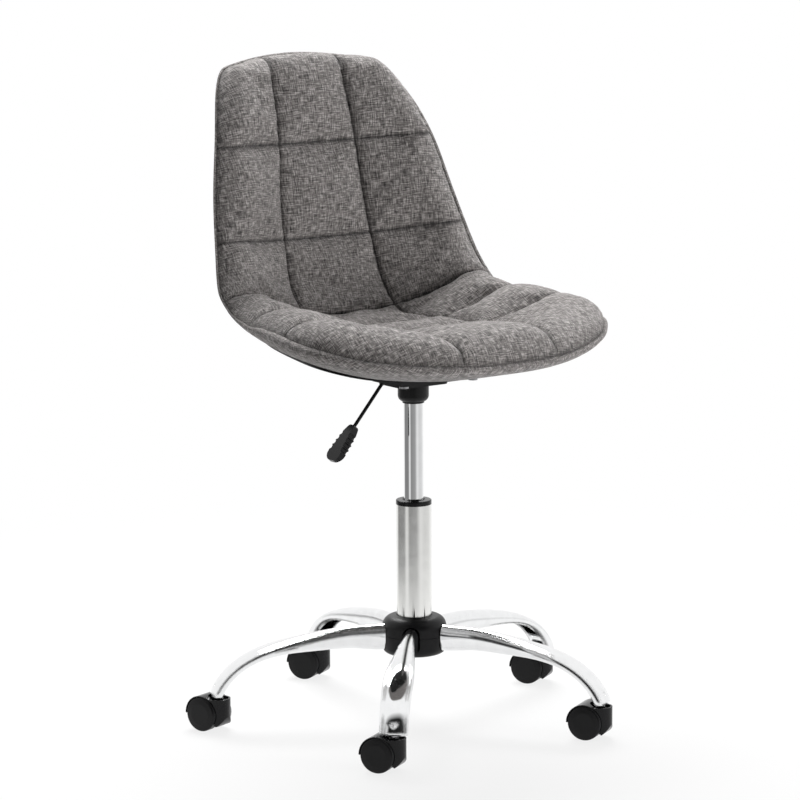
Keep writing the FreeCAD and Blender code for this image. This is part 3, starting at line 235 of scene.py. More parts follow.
def metal(name, colour, roughness, cloud, rounding=0.0):
    """Bare or plated metal with a faintly uneven polish; rounding softens how its edges mirror."""
    material, tree, shader = new_material(name, Metallic=1.0)
    point = object_point(tree)
    wear = scaled_noise(tree, point, (60, 60, 60), detail=4.0)
    low, high = roughness - cloud, roughness + cloud
    tree.links.new(ramp(tree, wear, [(0.3, low), (0.7, high)]), shader.inputs["Roughness"])
    tint = tuple(value * 0.94 for value in colour[:3]) + (1,)
    tree.links.new(ramp(tree, wear, [(0.3, tint), (0.7, colour)]), shader.inputs["Base Color"])
    if rounding:
        edge = add_node(tree, "Bevel", samples=8, Radius=rounding)
        tree.links.new(edge.outputs["Normal"], shader.inputs["Normal"])
    return material


def plastic(name, colour, roughness, grain, grain_depth):
    """Moulded plastic or paint with a fine grain."""
    material, tree, shader = new_material(name, Specular_IOR_Level=0.22)
    point = object_point(tree)
    spots = scaled_noise(tree, point, (grain, grain, grain))
    broad = scaled_noise(tree, point, (18, 18, 18), detail=3.0)
    paler = tuple(min(value * 1.35 + 0.002, 1.0) for value in colour[:3]) + (1,)
    tree.links.new(ramp(tree, broad, [(0.35, colour), (0.7, paler)]), shader.inputs["Base Color"])
    tree.links.new(ramp(tree, broad, [(0.3, roughness - 0.05), (0.7, roughness + 0.05)]),
                   shader.inputs["Roughness"])
    bump(tree, shader, spots, grain_depth)
    return material


finishes = {
    "chrome": metal("mirror_chrome", CHROME, 0.05, 0.015),
    "arm_chrome": metal("mirror_chrome_on_arms", CHROME, 0.05, 0.015, ARM_ROUNDING),
    "satin_chrome": metal("satin_chrome", (0.88, 0.88, 0.86, 1), 0.2, 0.03),
    "bright_steel": metal("bright_zinc", (0.62, 0.62, 0.63, 1), 0.22, 0.05),
    "zinc_steel": metal("dull_zinc", (0.42, 0.42, 0.43, 1), 0.35, 0.08),
    "dark_steel": metal("oiled_steel", (0.2, 0.2, 0.21, 1), 0.4, 0.08),
    "brass_fitting": metal("turned_brass", (0.6, 0.45, 0.2, 1), 0.3, 0.06),
    "black_steel": plastic("black_powder_coat", (0.005, 0.005, 0.005, 1), 0.38, 1500, 0.0001),
    "black_plastic": plastic("black_satin_plastic", (0.005, 0.005, 0.0055, 1), 0.42, 1800, 0.00006),
    "black_gloss": plastic("black_gloss_plastic", (0.004, 0.004, 0.0045, 1), 0.2, 900, 0.00002),
    "wheel_plastic": plastic("black_wheel_plastic", (0.0045, 0.0045, 0.005, 1), 0.36, 1600, 0.00004),
    "shell_plastic": plastic("moulded_shell_plastic", (0.02, 0.02, 0.02, 1), 0.5, 900, 0.0001),
    "rubber": plastic("black_rubber", (0.012, 0.012, 0.012, 1), 0.7, 1200, 0.0001),
    "grey_fabric": cloth,
    "rear_fabric": cloth,
}
slot_of = {entry["node"]: entry["material_slot"] for entry in frame["record"]["subparts"]}
own_finish = {"column_tube": "satin_chrome"}
own_finish.update((f"arm_{number}", "arm_chrome") for number in range(1, 6))
for node_name, node in frame["nodes"].items():
    node.data.materials.clear()
    node.data.materials.append(finishes[own_finish.get(node_name, slot_of[node_name])])
print(len(frame["nodes"]), "pieces of the frame have a finish")

# %% [markdown]
# ## The bucket's surface
# The seat and back are one moulded bucket. A curve up its middle is described by ten stations, and at each
# of them the sides turn up by a power curve. A place on the bucket is given by across (-1 to 1), share (0 at
# the front edge, 1 at the top) and proud (how far it stands off along the surface's normal). The cloth is cut
# flat in metres, so the same pair of numbers also gives its UVs.

# %% Stations of the bucket, in metres: depth, height, half width, rise of the sides
STATIONS = [
    (-0.230, 0.551, 0.206, 0.030), (-0.151, 0.534, 0.240, 0.042), (-0.054, 0.5245, 0.252, 0.058),
    (0.060, 0.5265, 0.234, 0.068), (0.139, 0.539, 0.223, 0.076), (0.190, 0.579, 0.221, 0.077),
    (0.222, 0.655, 0.209, 0.072), (0.240, 0.750, 0.192, 0.059), (0.251, 0.829, 0.176, 0.047),
    (0.282, 0.937, 0.161, 0.022),
]
CROWN_EXPONENT = 2.3
SAMPLES = 400


def natural_spline(knots, values):
    """Natural cubic spline through values at knots: a function of the parameter."""
    count = len(knots)
    gaps = [knots[i + 1] - knots[i] for i in range(count - 1)]
    lower, diagonal, upper, right = [0.0], [1.0], [0.0], [0.0]
    for i in range(1, count - 1):
        lower.append(gaps[i - 1])
        diagonal.append(2 * (gaps[i - 1] + gaps[i]))
        upper.append(gaps[i])
        slope_change = (values[i + 1] - values[i]) / gaps[i] - (values[i] - values[i - 1]) / gaps[i - 1]
        right.append(6 * slope_change)
    lower.append(0.0)
    diagonal.append(1.0)
    upper.append(0.0)
    right.append(0.0)
    for i in range(1, count):
        factor = lower[i] / diagonal[i - 1]
        diagonal[i] -= factor * upper[i - 1]
        right[i] -= factor * right[i - 1]
    bends = [0.0] * count
    for i in range(count - 1, -1, -1):
        following = upper[i] * bends[i + 1] if i + 1 < count else 0.0
        bends[i] = (right[i] - following) / diagonal[i]

    def at(parameter):
        i = max(j for j in range(count - 1) if knots[j] <= parameter or j == 0)
        gap = gaps[i]
        a = (knots[i + 1] - parameter) / gap
        b = 1 - a
        curve = ((a ** 3 - a) * bends[i] + (b ** 3 - b) * bends[i + 1]) * gap * gap / 6
        return a * values[i] + b * values[i + 1] + curve

    return at


def bucket_table():
    """Depth, height, half width and rise at equal steps of length up the middle, and that length."""
    knots = [0.0]
    for before, after in zip(STATIONS, STATIONS[1:]):
        knots.append(knots[-1] + math.dist(before[:2], after[:2]))
    columns = [natural_spline(knots, [station[i] for station in STATIONS]) for i in range(4)]
    fine = [[column(knots[-1] * i / (4 * SAMPLES)) for column in columns] for i in range(4 * SAMPLES + 1)]
    lengths = [0.0]
    for before, after in zip(fine, fine[1:]):
        lengths.append(lengths[-1] + math.dist(before[:2], after[:2]))
    table = []
    index = 0
    for step in range(SAMPLES + 1):
        target = lengths[-1] * step / SAMPLES
        while index < len(lengths) - 2 and lengths[index + 1] < target:
            index += 1
        share = (target - lengths[index]) / (lengths[index + 1] - lengths[index])
        table.append([a + (b - a) * share for a, b in zip(fine[index], fine[index + 1])])
    return table, lengths[-1]


TABLE, BUCKET_LENGTH = bucket_table()
print("the bucket is", round(BUCKET_LENGTH, 3), "metres along its middle")

# %% Places on the bucket
def station_at(share):
    """Depth, height, half width, rise and direction of the middle curve at a share of its length."""
    within = min(max(share, 0.0), 1.0) * SAMPLES
    index = min(int(within), SAMPLES - 1)
    part = within - index
    low, high = TABLE[index], TABLE[index + 1]
    values = [a + (b - a) * part for a, b in zip(low, high)]
    ahead = TABLE[min(index + 2, SAMPLES)]
    behind = TABLE[max(index - 1, 0)]
    direction = Vector((0, ahead[0] - behind[0], ahead[1] - behind[1])).normalized()
    return values, direction


def bucket_place(across, share, proud=0.0):
    """Point of the bucket and its normal, which points at the sitter."""
    (depth, height, half, rise), direction = station_at(share)
    beyond = (share - min(max(share, 0.0), 1.0)) * BUCKET_LENGTH
    inward = Vector((0, -direction.z, direction.y))
    middle = Vector((0, depth, height)) + direction * beyond
    lift = rise * abs(across) ** CROWN_EXPONENT
    slope = math.copysign(rise * CROWN_EXPONENT * abs(across) ** (CROWN_EXPONENT - 1) / half, across)
    normal = (inward - Vector((slope, 0, 0))).normalized()
    return middle + Vector((across * half, 0, 0)) + inward * lift + normal * proud, normal


def flat_place(across, share):
    """Place in the flat cut of the cloth, in metres."""
    half = station_at(share)[0][2]
    return Vector((across * half, share * BUCKET_LENGTH))


def from_flat(place):
    share = place.y / BUCKET_LENGTH
    return place.x / station_at(share)[0][2], share

# %% [markdown]
# ## The rim
# Seen flat, the cover is a rounded panel: a nearly straight top with long corners, and a front edge that is
# one broad curve. The perimeter seam runs along this line, where the padded front and the rear cover meet.

# %% Outline of the bucket in the flat cut
RIM_STEP = 0.005
LIP = {"wide": 0.170, "long": 0.102, "crown": 0.021}
TOP = {"wide": 0.043, "long": 0.139, "crown": 0.034}
STRAIGHT_STEPS = 12
CORNER_STEPS = 32
SIDE_STEPS = 60


def rim_quarter(form, half, is_top):
    """Places from the middle of an end to the side edge."""
    places = []
    straight = (half - form["wide"]) / half
    for index in range(STRAIGHT_STEPS):
        places.append((straight * index / STRAIGHT_STEPS, 0.0))
    for step in range(CORNER_STEPS + 1):
        angle = math.pi / 2 * step / CORNER_STEPS
        across = (half - form["wide"] + form["wide"] * math.sin(angle)) / half
        places.append((across, form["long"] * (1 - math.cos(angle))))
    result = []
    for across, drop in places:
        distance = (form["crown"] * across ** 2 + drop) / BUCKET_LENGTH
        result.append(flat_place(across, 1 - distance if is_top else distance))
    return result


def evenly_spaced(points, step, closed=True):
    """Points at equal steps along a polyline."""
    loop = points + points[:1] if closed else points
    lengths = [0.0]
    for before, after in zip(loop, loop[1:]):
        lengths.append(lengths[-1] + (after - before).length)
    count = max(int(round(lengths[-1] / step)), 3)
    result = []
    index = 0
    for number in range(count if closed else count + 1):
        target = lengths[-1] * number / count
        while index < len(lengths) - 2 and lengths[index + 1] < target:
            index += 1
        span = lengths[index + 1] - lengths[index]
        part = (target - lengths[index]) / span if span > 0 else 0.0
        result.append(loop[index].lerp(loop[index + 1], part))
    return result


def rim_line():
    front = rim_quarter(LIP, station_at(0.07)[0][2], False)
    top = rim_quarter(TOP, station_at(0.93)[0][2], True)
    side_low, side_high = front[-1].y / BUCKET_LENGTH, top[-1].y / BUCKET_LENGTH
    side = [flat_place(1.0, side_low + (side_high - side_low) * i / SIDE_STEPS)
            for i in range(1, SIDE_STEPS)]
    right = front + side + top[::-1]
    left = [Vector((-point.x, point.y)) for point in right[::-1]]
    return evenly_spaced(right + left[1:-1], RIM_STEP)


RIM = rim_line()
rim_tree = kdtree.KDTree(len(RIM))
for index, point in enumerate(RIM):
    rim_tree.insert((point.x, point.y, 0), index)
rim_tree.balance()


def rim_outward(index):
    """Outward direction of the rim at one of its points, in the flat cut."""
    before, after = RIM[index - 1], RIM[(index + 1) % len(RIM)]
    along = (after - before).normalized()
    return Vector((along.y, -along.x))


def rim_distance(place):
    """How far inside the rim a place in the flat cut is; negative outside."""
    index = rim_tree.find((place.x, place.y, 0))[1]
    best = 1e9
    for first in (index - 1, index):
        start, end = RIM[first], RIM[(first + 1) % len(RIM)]
        nearest, part = geometry.intersect_point_line(place, start, end)
        nearest = start.lerp(end, min(max(part, 0.0), 1.0))
        best = min(best, (place - nearest.to_2d()).length)
    inside = (RIM[index] - place).dot(rim_outward(index)) > 0
    return best if inside else -best


print("the perimeter seam is", round(len(RIM) * RIM_STEP, 3), "metres long")

# %% [markdown]
# ## Sewn channels
# Two lengthwise seams and five cross seams pull the cover down to the shell and leave eighteen cushions.
# The skin is triangulated in the flat cut with its edges laid exactly along the seams and in rings round the
# rim, so that a sharp crease has vertices to sit on. Only then is it lifted onto the bucket.

# %% Seams in the flat cut
LENGTHWISE_SEAMS = (-0.38, 0.38)
CROSS_SEAMS = (0.834, 0.663, 0.503, 0.350, 0.225)
SKIN_STEP = 0.0052
BESIDE_SEAM = (0.002, 0.0048)
STITCH_STEP = 0.001
ON_SEAM = 0.0006


def seam_lines():
    """Every quilting seam as a polyline in the flat cut, ended at the rim."""
    lines = []
    for across in LENGTHWISE_SEAMS:
        lines.append([flat_place(across, share / 400) for share in range(401)])
    for share in CROSS_SEAMS:
        lines.append([flat_place(across / 100, share) for across in range(-100, 101)])
    inside = []
    for line in lines:
        kept = [place for place in line if rim_distance(place) > 0.0]
        inside.append(evenly_spaced(kept, SKIN_STEP, closed=False))
    return inside


SEAMS = seam_lines()
seam_points = [point for line in SEAMS for point in evenly_spaced(line, STITCH_STEP, closed=False)]
seam_tree = kdtree.KDTree(len(seam_points))
for index, point in enumerate(seam_points):
    seam_tree.insert((point.x, point.y, 0), index)
seam_tree.balance()


def seam_distance(place):
    return seam_tree.find((place.x, place.y, 0))[2]


print(len(SEAMS), "seams,", round(len(seam_points) * STITCH_STEP, 2), "metres of stitching")

# %% Triangulate a skin inside the rim
EDGE_ZONE = 0.026
EDGE_RINGS = 7
ROW_HEIGHT = 0.866


def ring_insets(radius, count):
    """Distances inside the rim that give equal steps round a rolled edge."""
    return [radius * (1 - math.cos(math.pi / 2 * (step + 1) / count)) for step in range(count)]


def flat_skin(step, edge_radius, rings, lines):
    """Triangles of a skin in the flat cut: (places, triangles). The first places are the rim."""
    places = list(RIM)
    count = len(RIM)
    edges = []
    insets = ring_insets(edge_radius, rings)
    for inset in insets:
        for index in range(count):
            places.append(RIM[index] - rim_outward(index) * inset)
    deepest = insets[-1]
    for line in lines:
        for end in (line[0], line[-1]):
            column = rim_tree.find((end.x, end.y, 0))[1]
            for ring in range(1, rings + 1):
                own = places[ring * count + column]
                nearest = min(line, key=lambda place: (place - own).length)
                before = line[max(line.index(nearest) - 1, 0)]
                along = (nearest - before) if nearest != before else (line[1] - line[0])
                along = along.normalized()
                places[ring * count + column] = nearest + along * (own - nearest).dot(along)
    for line in lines:
        inner = [place for place in line if rim_distance(place) > deepest + step * 0.4]
        start = len(places)
        places += inner
        edges += [(start + i, start + i + 1) for i in range(len(inner) - 1)]
    line_start = count * (rings + 1)
    for gap in BESIDE_SEAM:
        for line in lines:
            for before, after in zip(line, line[1:]):
                square = Vector((before.y - after.y, after.x - before.x)).normalized()
                for side in (gap, -gap):
                    place = before + square * side
                    if rim_distance(place) > deepest + step * 0.4 and seam_distance(place) > gap * 0.9:
                        places.append(place)
    line_tree = kdtree.KDTree(max(len(places) - line_start, 1))
    for index, place in enumerate(places[line_start:]):
        line_tree.insert((place.x, place.y, 0), index)
    line_tree.balance()
    wide = max(abs(place.x) for place in RIM)
    row = 0
    height = -0.01
    while height < BUCKET_LENGTH + 0.01:
        across = -wide + (step / 2 if row % 2 else 0.0)
        while across < wide:
            place = Vector((across, height))
            if rim_distance(place) > deepest + step * 0.6:
                near = line_tree.find((place.x, place.y, 0))[2] if lines else 1.0
                if near is None or near > step * 0.55:
                    places.append(place)
            across += step
        height += step * ROW_HEIGHT
        row += 1
    loop = list(range(count))
    result = geometry.delaunay_2d_cdt(places, edges, [loop], 1, 1e-6)
    return result[0], [tuple(face) for face in result[2]]


flat_places, flat_triangles = flat_skin(SKIN_STEP, EDGE_ZONE, EDGE_RINGS, SEAMS)
print("skin has", len(flat_places), "vertices and", len(flat_triangles), "triangles")

# %% [markdown]
# ## Padded front
# The skin is lifted onto the bucket with a rolled edge, and pressed down along the seams. A short cloth
# simulation then blows it up from inside while the seams and the rim are held, as foam does behind a sewn
# cover. The simulation finds the soft bulges and small puckers that a formula misses.

# %% Shape of the padding before it is puffed up
# Each profile runs along the bucket's length: (share, metres)
PAD_HEIGHT = [(0.0, 0.044), (0.1, 0.046), (0.2, 0.047), (0.3, 0.045), (0.35, 0.042), (0.45, 0.032),
              (0.503, 0.027), (0.6, 0.0225), (0.7, 0.0205), (1.0, 0.0195)]
PAD_ROLL = [(0.0, 0.050), (0.1, 0.058), (0.3, 0.058), (0.4, 0.045), (0.5, 0.034), (0.6, 0.030), (1.0, 0.028)]
SEAM_LEVEL = [(0.0, -0.007), (0.07, -0.007), (0.13, -0.003), (0.25, -0.001), (0.30, -0.004), (0.36, -0.012),
              (0.45, -0.016), (1.0, -0.016)]
SEAM_DEPTH = [(0.0, 0.017), (0.1, 0.021), (0.35, 0.024), (0.503, 0.019), (0.663, 0.0145), (1.0, 0.0145)]
CREASE_REACH = 0.006
CREASE_SHARE = 0.55
DOME_REACH = 0.03
EDGE_BULGE = 0.0008
RIM_PINCH = 0.0007
PINCH_REACH = 0.0004
PAD_SPARE = 0.003
# Painted shade in the cloth's colour fades out over these distances from a seam and from the rim
SEAM_SHADE = 0.0045
RIM_SEAM_SHADE = 0.0012


def smooth(value):
    value = min(max(value, 0.0), 1.0)
    return value * value * (3 - 2 * value)


def along_profile(profile, share):
    """Value of a profile at a share of the bucket's length, eased between its entries."""
    for (low, first), (high, second) in zip(profile, profile[1:]):
        if share <= high:
            return first + (second - first) * smooth((share - low) / (high - low))
    return profile[-1][1]


def edge_roll(inside, radius):
    """0 at the rim and 1 from one radius inwards, round in between."""
    part = min(max(inside / radius, 0.0), 1.0)
    return math.sqrt(1 - (1 - part) ** 2)


def pressed_by_seams(place):
    """1 on a quilting seam: a sharp crease with a broad dome between the seams."""
    near = seam_distance(place)
    crease, dome = math.exp(-near / CREASE_REACH), math.exp(-near / DOME_REACH)
    return CREASE_SHARE * crease + (1 - CREASE_SHARE) * dome


def moved_outward(place, distance):
    """Place in the flat cut moved square to the rim."""
    index = rim_tree.find((place.x, place.y, 0))[1]
    return place + rim_outward(index) * distance


def padded_place(place):
    """Point of the padded front over a place in the flat cut."""
    share = place.y / BUCKET_LENGTH
    inside = max(rim_distance(place), 0.0)
    roll = edge_roll(inside, along_profile(PAD_ROLL, share))
    pressed = pressed_by_seams(place)
    depth = along_profile(SEAM_DEPTH, share) * (0.8 + 0.2 * smooth(inside / 0.06))
    level = along_profile(SEAM_LEVEL, share)
    top = along_profile(PAD_HEIGHT, share) + PAD_SPARE
    proud = level + (top - level) * roll - depth * pressed * roll
    swell = EDGE_BULGE * math.sin(math.pi * min(inside / EDGE_ZONE, 1.0) ** 0.4) * (1 - 0.7 * pressed)
    swell -= RIM_PINCH * math.exp(-inside / PINCH_REACH)
    across, share = from_flat(moved_outward(place, swell))
    return bucket_place(across, share, proud)[0]


def cut_place(place, radius, height):
    """Place in the cloth as it is cut, with the length that the rolled edge takes up."""
    inside = min(max(rim_distance(place), 0.0), radius)
    angle = math.acos(1 - inside / radius)
    arc = (math.pi / 2 - angle) * (radius + height) / 2
    return moved_outward(place, arc - (radius - inside))


def padded_cut(place):
    share = place.y / BUCKET_LENGTH
    height = along_profile(PAD_HEIGHT, share) - along_profile(SEAM_LEVEL, share)
    return cut_place(place, along_profile(PAD_ROLL, share), height)


def mark_seam_shade(piece, places):
    """Vertex attribute for painted shade: 1 on a seam, a little less at the rim, fading out beside them."""
    layer = piece.data.attributes.new("seam", "FLOAT", "POINT")
    for index, place in enumerate(places):
        near = min(seam_distance(place), RIM_SEAM_SHADE + 4 * abs(rim_distance(place)))
        layer.data[index].value = max(1 - near / SEAM_SHADE, 0.0)


def mesh_object(name, points, faces, flat, material):
    """Mesh piece whose UVs are its flat cut in metres."""
    mesh = bpy.data.meshes.new(name)
    mesh.from_pydata([tuple(point) for point in points], [], faces)
    mesh.validate()
    layer = mesh.uv_layers.new(name="flat_cut")
    for loop in mesh.loops:
        place = flat[loop.vertex_index]
        layer.data[loop.index].uv = (place.x + 0.5, place.y)
    mesh.polygons.foreach_set("use_smooth", [True] * len(mesh.polygons))
    piece = bpy.data.objects.new(name, mesh)
    bpy.context.scene.collection.objects.link(piece)
    mesh.materials.append(material)
    return piece


skin_points = [padded_place(place) for place in flat_places]
pad_cut = [padded_cut(place) for place in flat_places]
pad_skin = mesh_object("quilted_seat_pad", skin_points, flat_triangles, pad_cut, cloth)
print("the seat is padded", PAD_HEIGHT[1][1] * 1000, "mm and the back", PAD_HEIGHT[-1][1] * 1000)

# %% Puff up the cushions between their seams
FRAMES = 16
PRESSURE = 7.0
MOST_MOVE = 0.007
RIM_MOVE = 0.0015


def puff_up(piece, held):
    """Cloth simulation with some vertices held; its result becomes the mesh."""
    group = piece.vertex_groups.new(name="held")
    for index, weight in held.items():
        group.add([index], weight, "REPLACE")
    modifier = piece.modifiers.new("puff", "CLOTH")
    settings = modifier.settings
    settings.quality = 5
    settings.mass = 0.3
    settings.tension_stiffness = 12
    settings.compression_stiffness = 12
    settings.shear_stiffness = 4
    settings.bending_stiffness = 0.4
    settings.vertex_group_mass = "held"
    settings.shrink_min = -0.015
    settings.use_pressure = True
    settings.uniform_pressure_force = PRESSURE
    settings.effector_weights.gravity = 0.0
    modifier.collision_settings.use_collision = False
    modifier.point_cache.frame_start = 1
    modifier.point_cache.frame_end = FRAMES
    for number in range(1, FRAMES + 1):
        bpy.context.scene.frame_set(number)
    shaped = piece.evaluated_get(bpy.context.evaluated_depsgraph_get())
    puffed = [vertex.co.copy() for vertex in shaped.data.vertices]
    piece.modifiers.remove(modifier)
    bpy.context.scene.frame_set(1)
    return puffed


held = {}
for index, place in enumerate(flat_places):
    if index < len(RIM) or seam_distance(place) < ON_SEAM:
        held[index] = 1.0
before = [vertex.co.copy() for vertex in pad_skin.data.vertices]
after = puff_up(pad_skin, held)
moves = []
for vertex, start, end, place in zip(pad_skin.data.vertices, before, after, flat_places):
    move = end - start
    moves.append(move.length)
    most = RIM_MOVE + (MOST_MOVE - RIM_MOVE) * smooth(rim_distance(place) / EDGE_ZONE)
    if move.length > most:
        move *= most / move.length
    vertex.co = start + move
pad_skin.data.update()
print("cushions moved up to", round(max(moves) * 1000, 1), "mm,",
      round(sum(moves) / len(moves) * 1000, 1), "mm on average")

# %% Creases stay sharp
def sharpen_seams(piece, on_seam):
    """Edges along a seam keep a crisp shadow line."""
    mesh = piece.data
    for edge in mesh.edges:
        first, second = edge.vertices
        if first in on_seam and second in on_seam:
            edge.use_edge_sharp = True


on_seam = {index for index, place in enumerate(flat_places) if seam_distance(place) < ON_SEAM}
print(len(on_seam), "vertices lie on the seams")

# %% Close the padding underneath
FLOOR_STEP = 0.03
FLOOR_EDGE = 0.012
FLOOR_INSET = 0.002
FLOOR_BELOW = -0.0035


def floor_point(place, below):
    """Point under the padding, a little behind the perimeter seam at the rim."""
    across, share = from_flat(place)
    level = along_profile(SEAM_LEVEL, share) * (1 - smooth(rim_distance(place) / 0.03))
    return bucket_place(across, share, level + below)[0]


def close_below(piece, rim_count, proud, flat):
    """A floor under the skin, so that the padding is one closed form."""
    mesh = piece.data
    points = [vertex.co.copy() for vertex in mesh.vertices]
    faces = [tuple(face.vertices) for face in mesh.polygons]
    base = len(points)
    floor_places, floor_faces = flat_skin(FLOOR_STEP, FLOOR_EDGE, 1, [])
    moved = [place - rim_outward(index) * FLOOR_INSET if index < rim_count else place
             for index, place in enumerate(floor_places)]
    points += [floor_point(place, proud) for place in moved]
    faces += [tuple(base + index for index in reversed(face)) for face in floor_faces]
    for index in range(rim_count):
        following = (index + 1) % rim_count
        faces.append((index, base + index, base + following, following))
    return points, faces, list(flat) + list(floor_places)


closed_points, closed_faces, closed_flat = close_below(pad_skin, len(RIM), FLOOR_BELOW, pad_cut)
bpy.data.objects.remove(pad_skin)
seat_pad = mesh_object("quilted_seat_pad", closed_points, closed_faces, closed_flat, cloth)
sharpen_seams(seat_pad, on_seam | set(range(len(RIM))))
# Painted shade along the seams and the rim, read by the cloth's colour
mark_seam_shade(seat_pad, flat_places)
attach(seat_pad, "seat")
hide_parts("seat_pad")
print("quilted pad has", len(closed_faces), "faces")

# %% [markdown]
# ## Rear cover
# Behind the shell the same cloth lies over thin foam, rounded at the edge and open in the middle for the
# seat plate's block. It meets the padded front at the perimeter seam.

# %% Rear cover
REAR_DEPTH = 0.0205
REAR_EDGE = 0.022
REAR_BULGE = 0.005
REAR_STEP = 0.010
REAR_RINGS = 5
SLACK = 0.0012
CLOTH_THICK = 0.0015
BLOCK_GAP = 0.001


def rear_place(place):
    inside = max(rim_distance(place), 0.0)
    roll = edge_roll(inside, REAR_EDGE)
    swell = REAR_BULGE * math.sin(math.pi * min(inside / REAR_EDGE, 1.0) ** 0.4)
    swell -= RIM_PINCH * math.exp(-inside / PINCH_REACH)
    across, share = from_flat(moved_outward(place, swell))
    level = along_profile(SEAM_LEVEL, share)
    point, normal = bucket_place(across, share, level - (REAR_DEPTH + level) * roll)
    slack = noise.noise(Vector((place.x * 9, place.y * 9, 4.0))) * SLACK * smooth(inside / 0.05)
    return point + normal * slack


block_low, block_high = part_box("mounting_block")
rear_flat, rear_faces = flat_skin(REAR_STEP, REAR_EDGE, REAR_RINGS, [])
rear_points = [rear_place(place) for place in rear_flat]


def over_block(face):
    centre = sum((rear_points[index] for index in face), Vector()) / len(face)
    within = all(block_low[i] - BLOCK_GAP < centre[i] < block_high[i] + BLOCK_GAP for i in (0, 1))
    return within and centre.z < block_high[2] + 0.02


rear_faces = [tuple(reversed(face)) for face in rear_faces if not over_block(face)]
rear_cut = [cut_place(place, REAR_EDGE, REAR_DEPTH) for place in rear_flat]
rear_cover = mesh_object("rear_cover", rear_points, rear_faces, rear_cut, cloth)
thickness = rear_cover.modifiers.new("cloth_thickness", "SOLIDIFY")
thickness.thickness = CLOTH_THICK
thickness.offset = -1.0
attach(rear_cover, "seat")
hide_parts("rear_upholstery")
print("rear cover has", len(rear_faces), "faces")

# %% [markdown]
# ## Studio
# A white floor that runs far back, a broad soft light overhead from behind and a lower one from the front
# right, which mirrors don't show. Upright tubes mirror the far floor, so its glow has pale and dark stripes by
# heading for reflections alone. The world is white to the camera and on the backdrop's side, and dark behind
# the camera, as a real studio is, so that the chrome arms have something dark to show.

# %% What chrome sees round the studio
STUDIO_STRIPES = [(-135, 1.0), (-118, 0.24), (-62, 0.24), (-52, 0.8), (-40, 0.8), (-30, 0.27), (18, 0.36),
                  (42, 0.85), (75, 0.7), (110, 0.78), (140, 1.0)]


def level_parts(tree, vector):
    """How far a vector points away from the camera, and how far to its right."""
    parts = add_node(tree, "SeparateXYZ")
    tree.links.new(vector, parts.inputs[0])
    sine, cosine = math.sin(CAMERA_HEADING), math.cos(CAMERA_HEADING)
    away = math_node(tree, "ADD", math_node(tree, "MULTIPLY", parts.outputs["X"], sine),
                     math_node(tree, "MULTIPLY", parts.outputs["Y"], cosine))
    right = math_node(tree, "SUBTRACT", math_node(tree, "MULTIPLY", parts.outputs["X"], cosine),
                      math_node(tree, "MULTIPLY", parts.outputs["Y"], sine))
    return away, right


def studio_pattern(tree, vector):
    """Grey of the studio by heading: 0 degrees is the camera's side, and positive is its right."""
    away, right = level_parts(tree, vector)
    heading = math_node(tree, "ARCTAN2", right, math_node(tree, "MULTIPLY", away, -1.0))
    turn = math_node(tree, "ADD", math_node(tree, "MULTIPLY", heading, 0.5 / math.pi), 0.5)
    return ramp(tree, turn, [(0.5 + degrees / 360, grey) for degrees, grey in STUDIO_STRIPES])


# %% Floor
FLOOR_REACH = 30.0
FLOOR_GREY = (0.65, 0.65, 0.65, 1)
PATTERN_START = (0.65, 1.1)
GLOW_DISTANCE = (0.4, 1.6)
GLOW_STRENGTH = (0.82, 1.0)


def eased(tree, value, start, end=(0.0, 1.0)):
    """Value eased from the start range to the end range."""
    node = add_node(tree, "MapRange", interpolation_type="SMOOTHSTEP")
    for socket, level in zip(("From Min", "From Max", "To Min", "To Max"), start + end):
        node.inputs[socket].default_value = level
    tree.links.new(value, node.inputs["Value"])
    return node.outputs["Result"]


def studio_floor():
    mesh = bpy.data.meshes.new("studio_floor")
    reach = FLOOR_REACH
    mesh.from_pydata([(-reach, -reach, 0), (reach, -reach, 0), (reach, reach, 0), (-reach, reach, 0)], [],
                     [(0, 1, 2, 3)])
    floor = bpy.data.objects.new("studio_floor", mesh)
    bpy.context.scene.collection.objects.link(floor)
    material, tree, shader = new_material("white_floor", Base_Color=FLOOR_GREY, Roughness=0.7)
    glow = add_node(tree, "Emission", Strength=1.0)
    around = studio_pattern(tree, object_point(tree))
    mix = add_node(tree, "MixShader")
    path = add_node(tree, "LightPath")
    seen = math_node(tree, "MAXIMUM", path.outputs["Is Camera Ray"], path.outputs["Is Glossy Ray"])
    seen = math_node(tree, "MAXIMUM", seen, path.outputs["Is Transmission Ray"])
    distance = add_node(tree, "VectorMath", operation="LENGTH")
    tree.links.new(object_point(tree), distance.inputs[0])
    beyond = eased(tree, distance.outputs["Value"], PATTERN_START)
    reflected = math_node(tree, "MULTIPLY", path.outputs["Is Glossy Ray"], beyond)
    glow_colour = add_node(tree, "Mix", data_type="RGBA")
    glow_colour.inputs[6].default_value = (1, 1, 1, 1)
    tree.links.new(reflected, glow_colour.inputs[0])
    tree.links.new(around, glow_colour.inputs[7])
    tree.links.new(glow_colour.outputs[2], glow.inputs["Color"])
    glow_share = eased(tree, distance.outputs["Value"], GLOW_DISTANCE, GLOW_STRENGTH)
    tree.links.new(math_node(tree, "MULTIPLY", seen, glow_share), mix.inputs[0])
    tree.links.new(shader.outputs[0], mix.inputs[1])
    tree.links.new(glow.outputs[0], mix.inputs[2])
    tree.links.new(mix.outputs[0], tree.nodes["Material Output"].inputs["Surface"])
    mesh.materials.append(material)
    return floor


studio_floor()

# %% World
# The world turns from dark to white between these shares of the way from the camera's side to the backdrop
BACKDROP_EDGE = [(0.24, 0.0), (0.34, 1.0)]
DARK_SIDE = 0.05
WORLD_FILL = 0.28


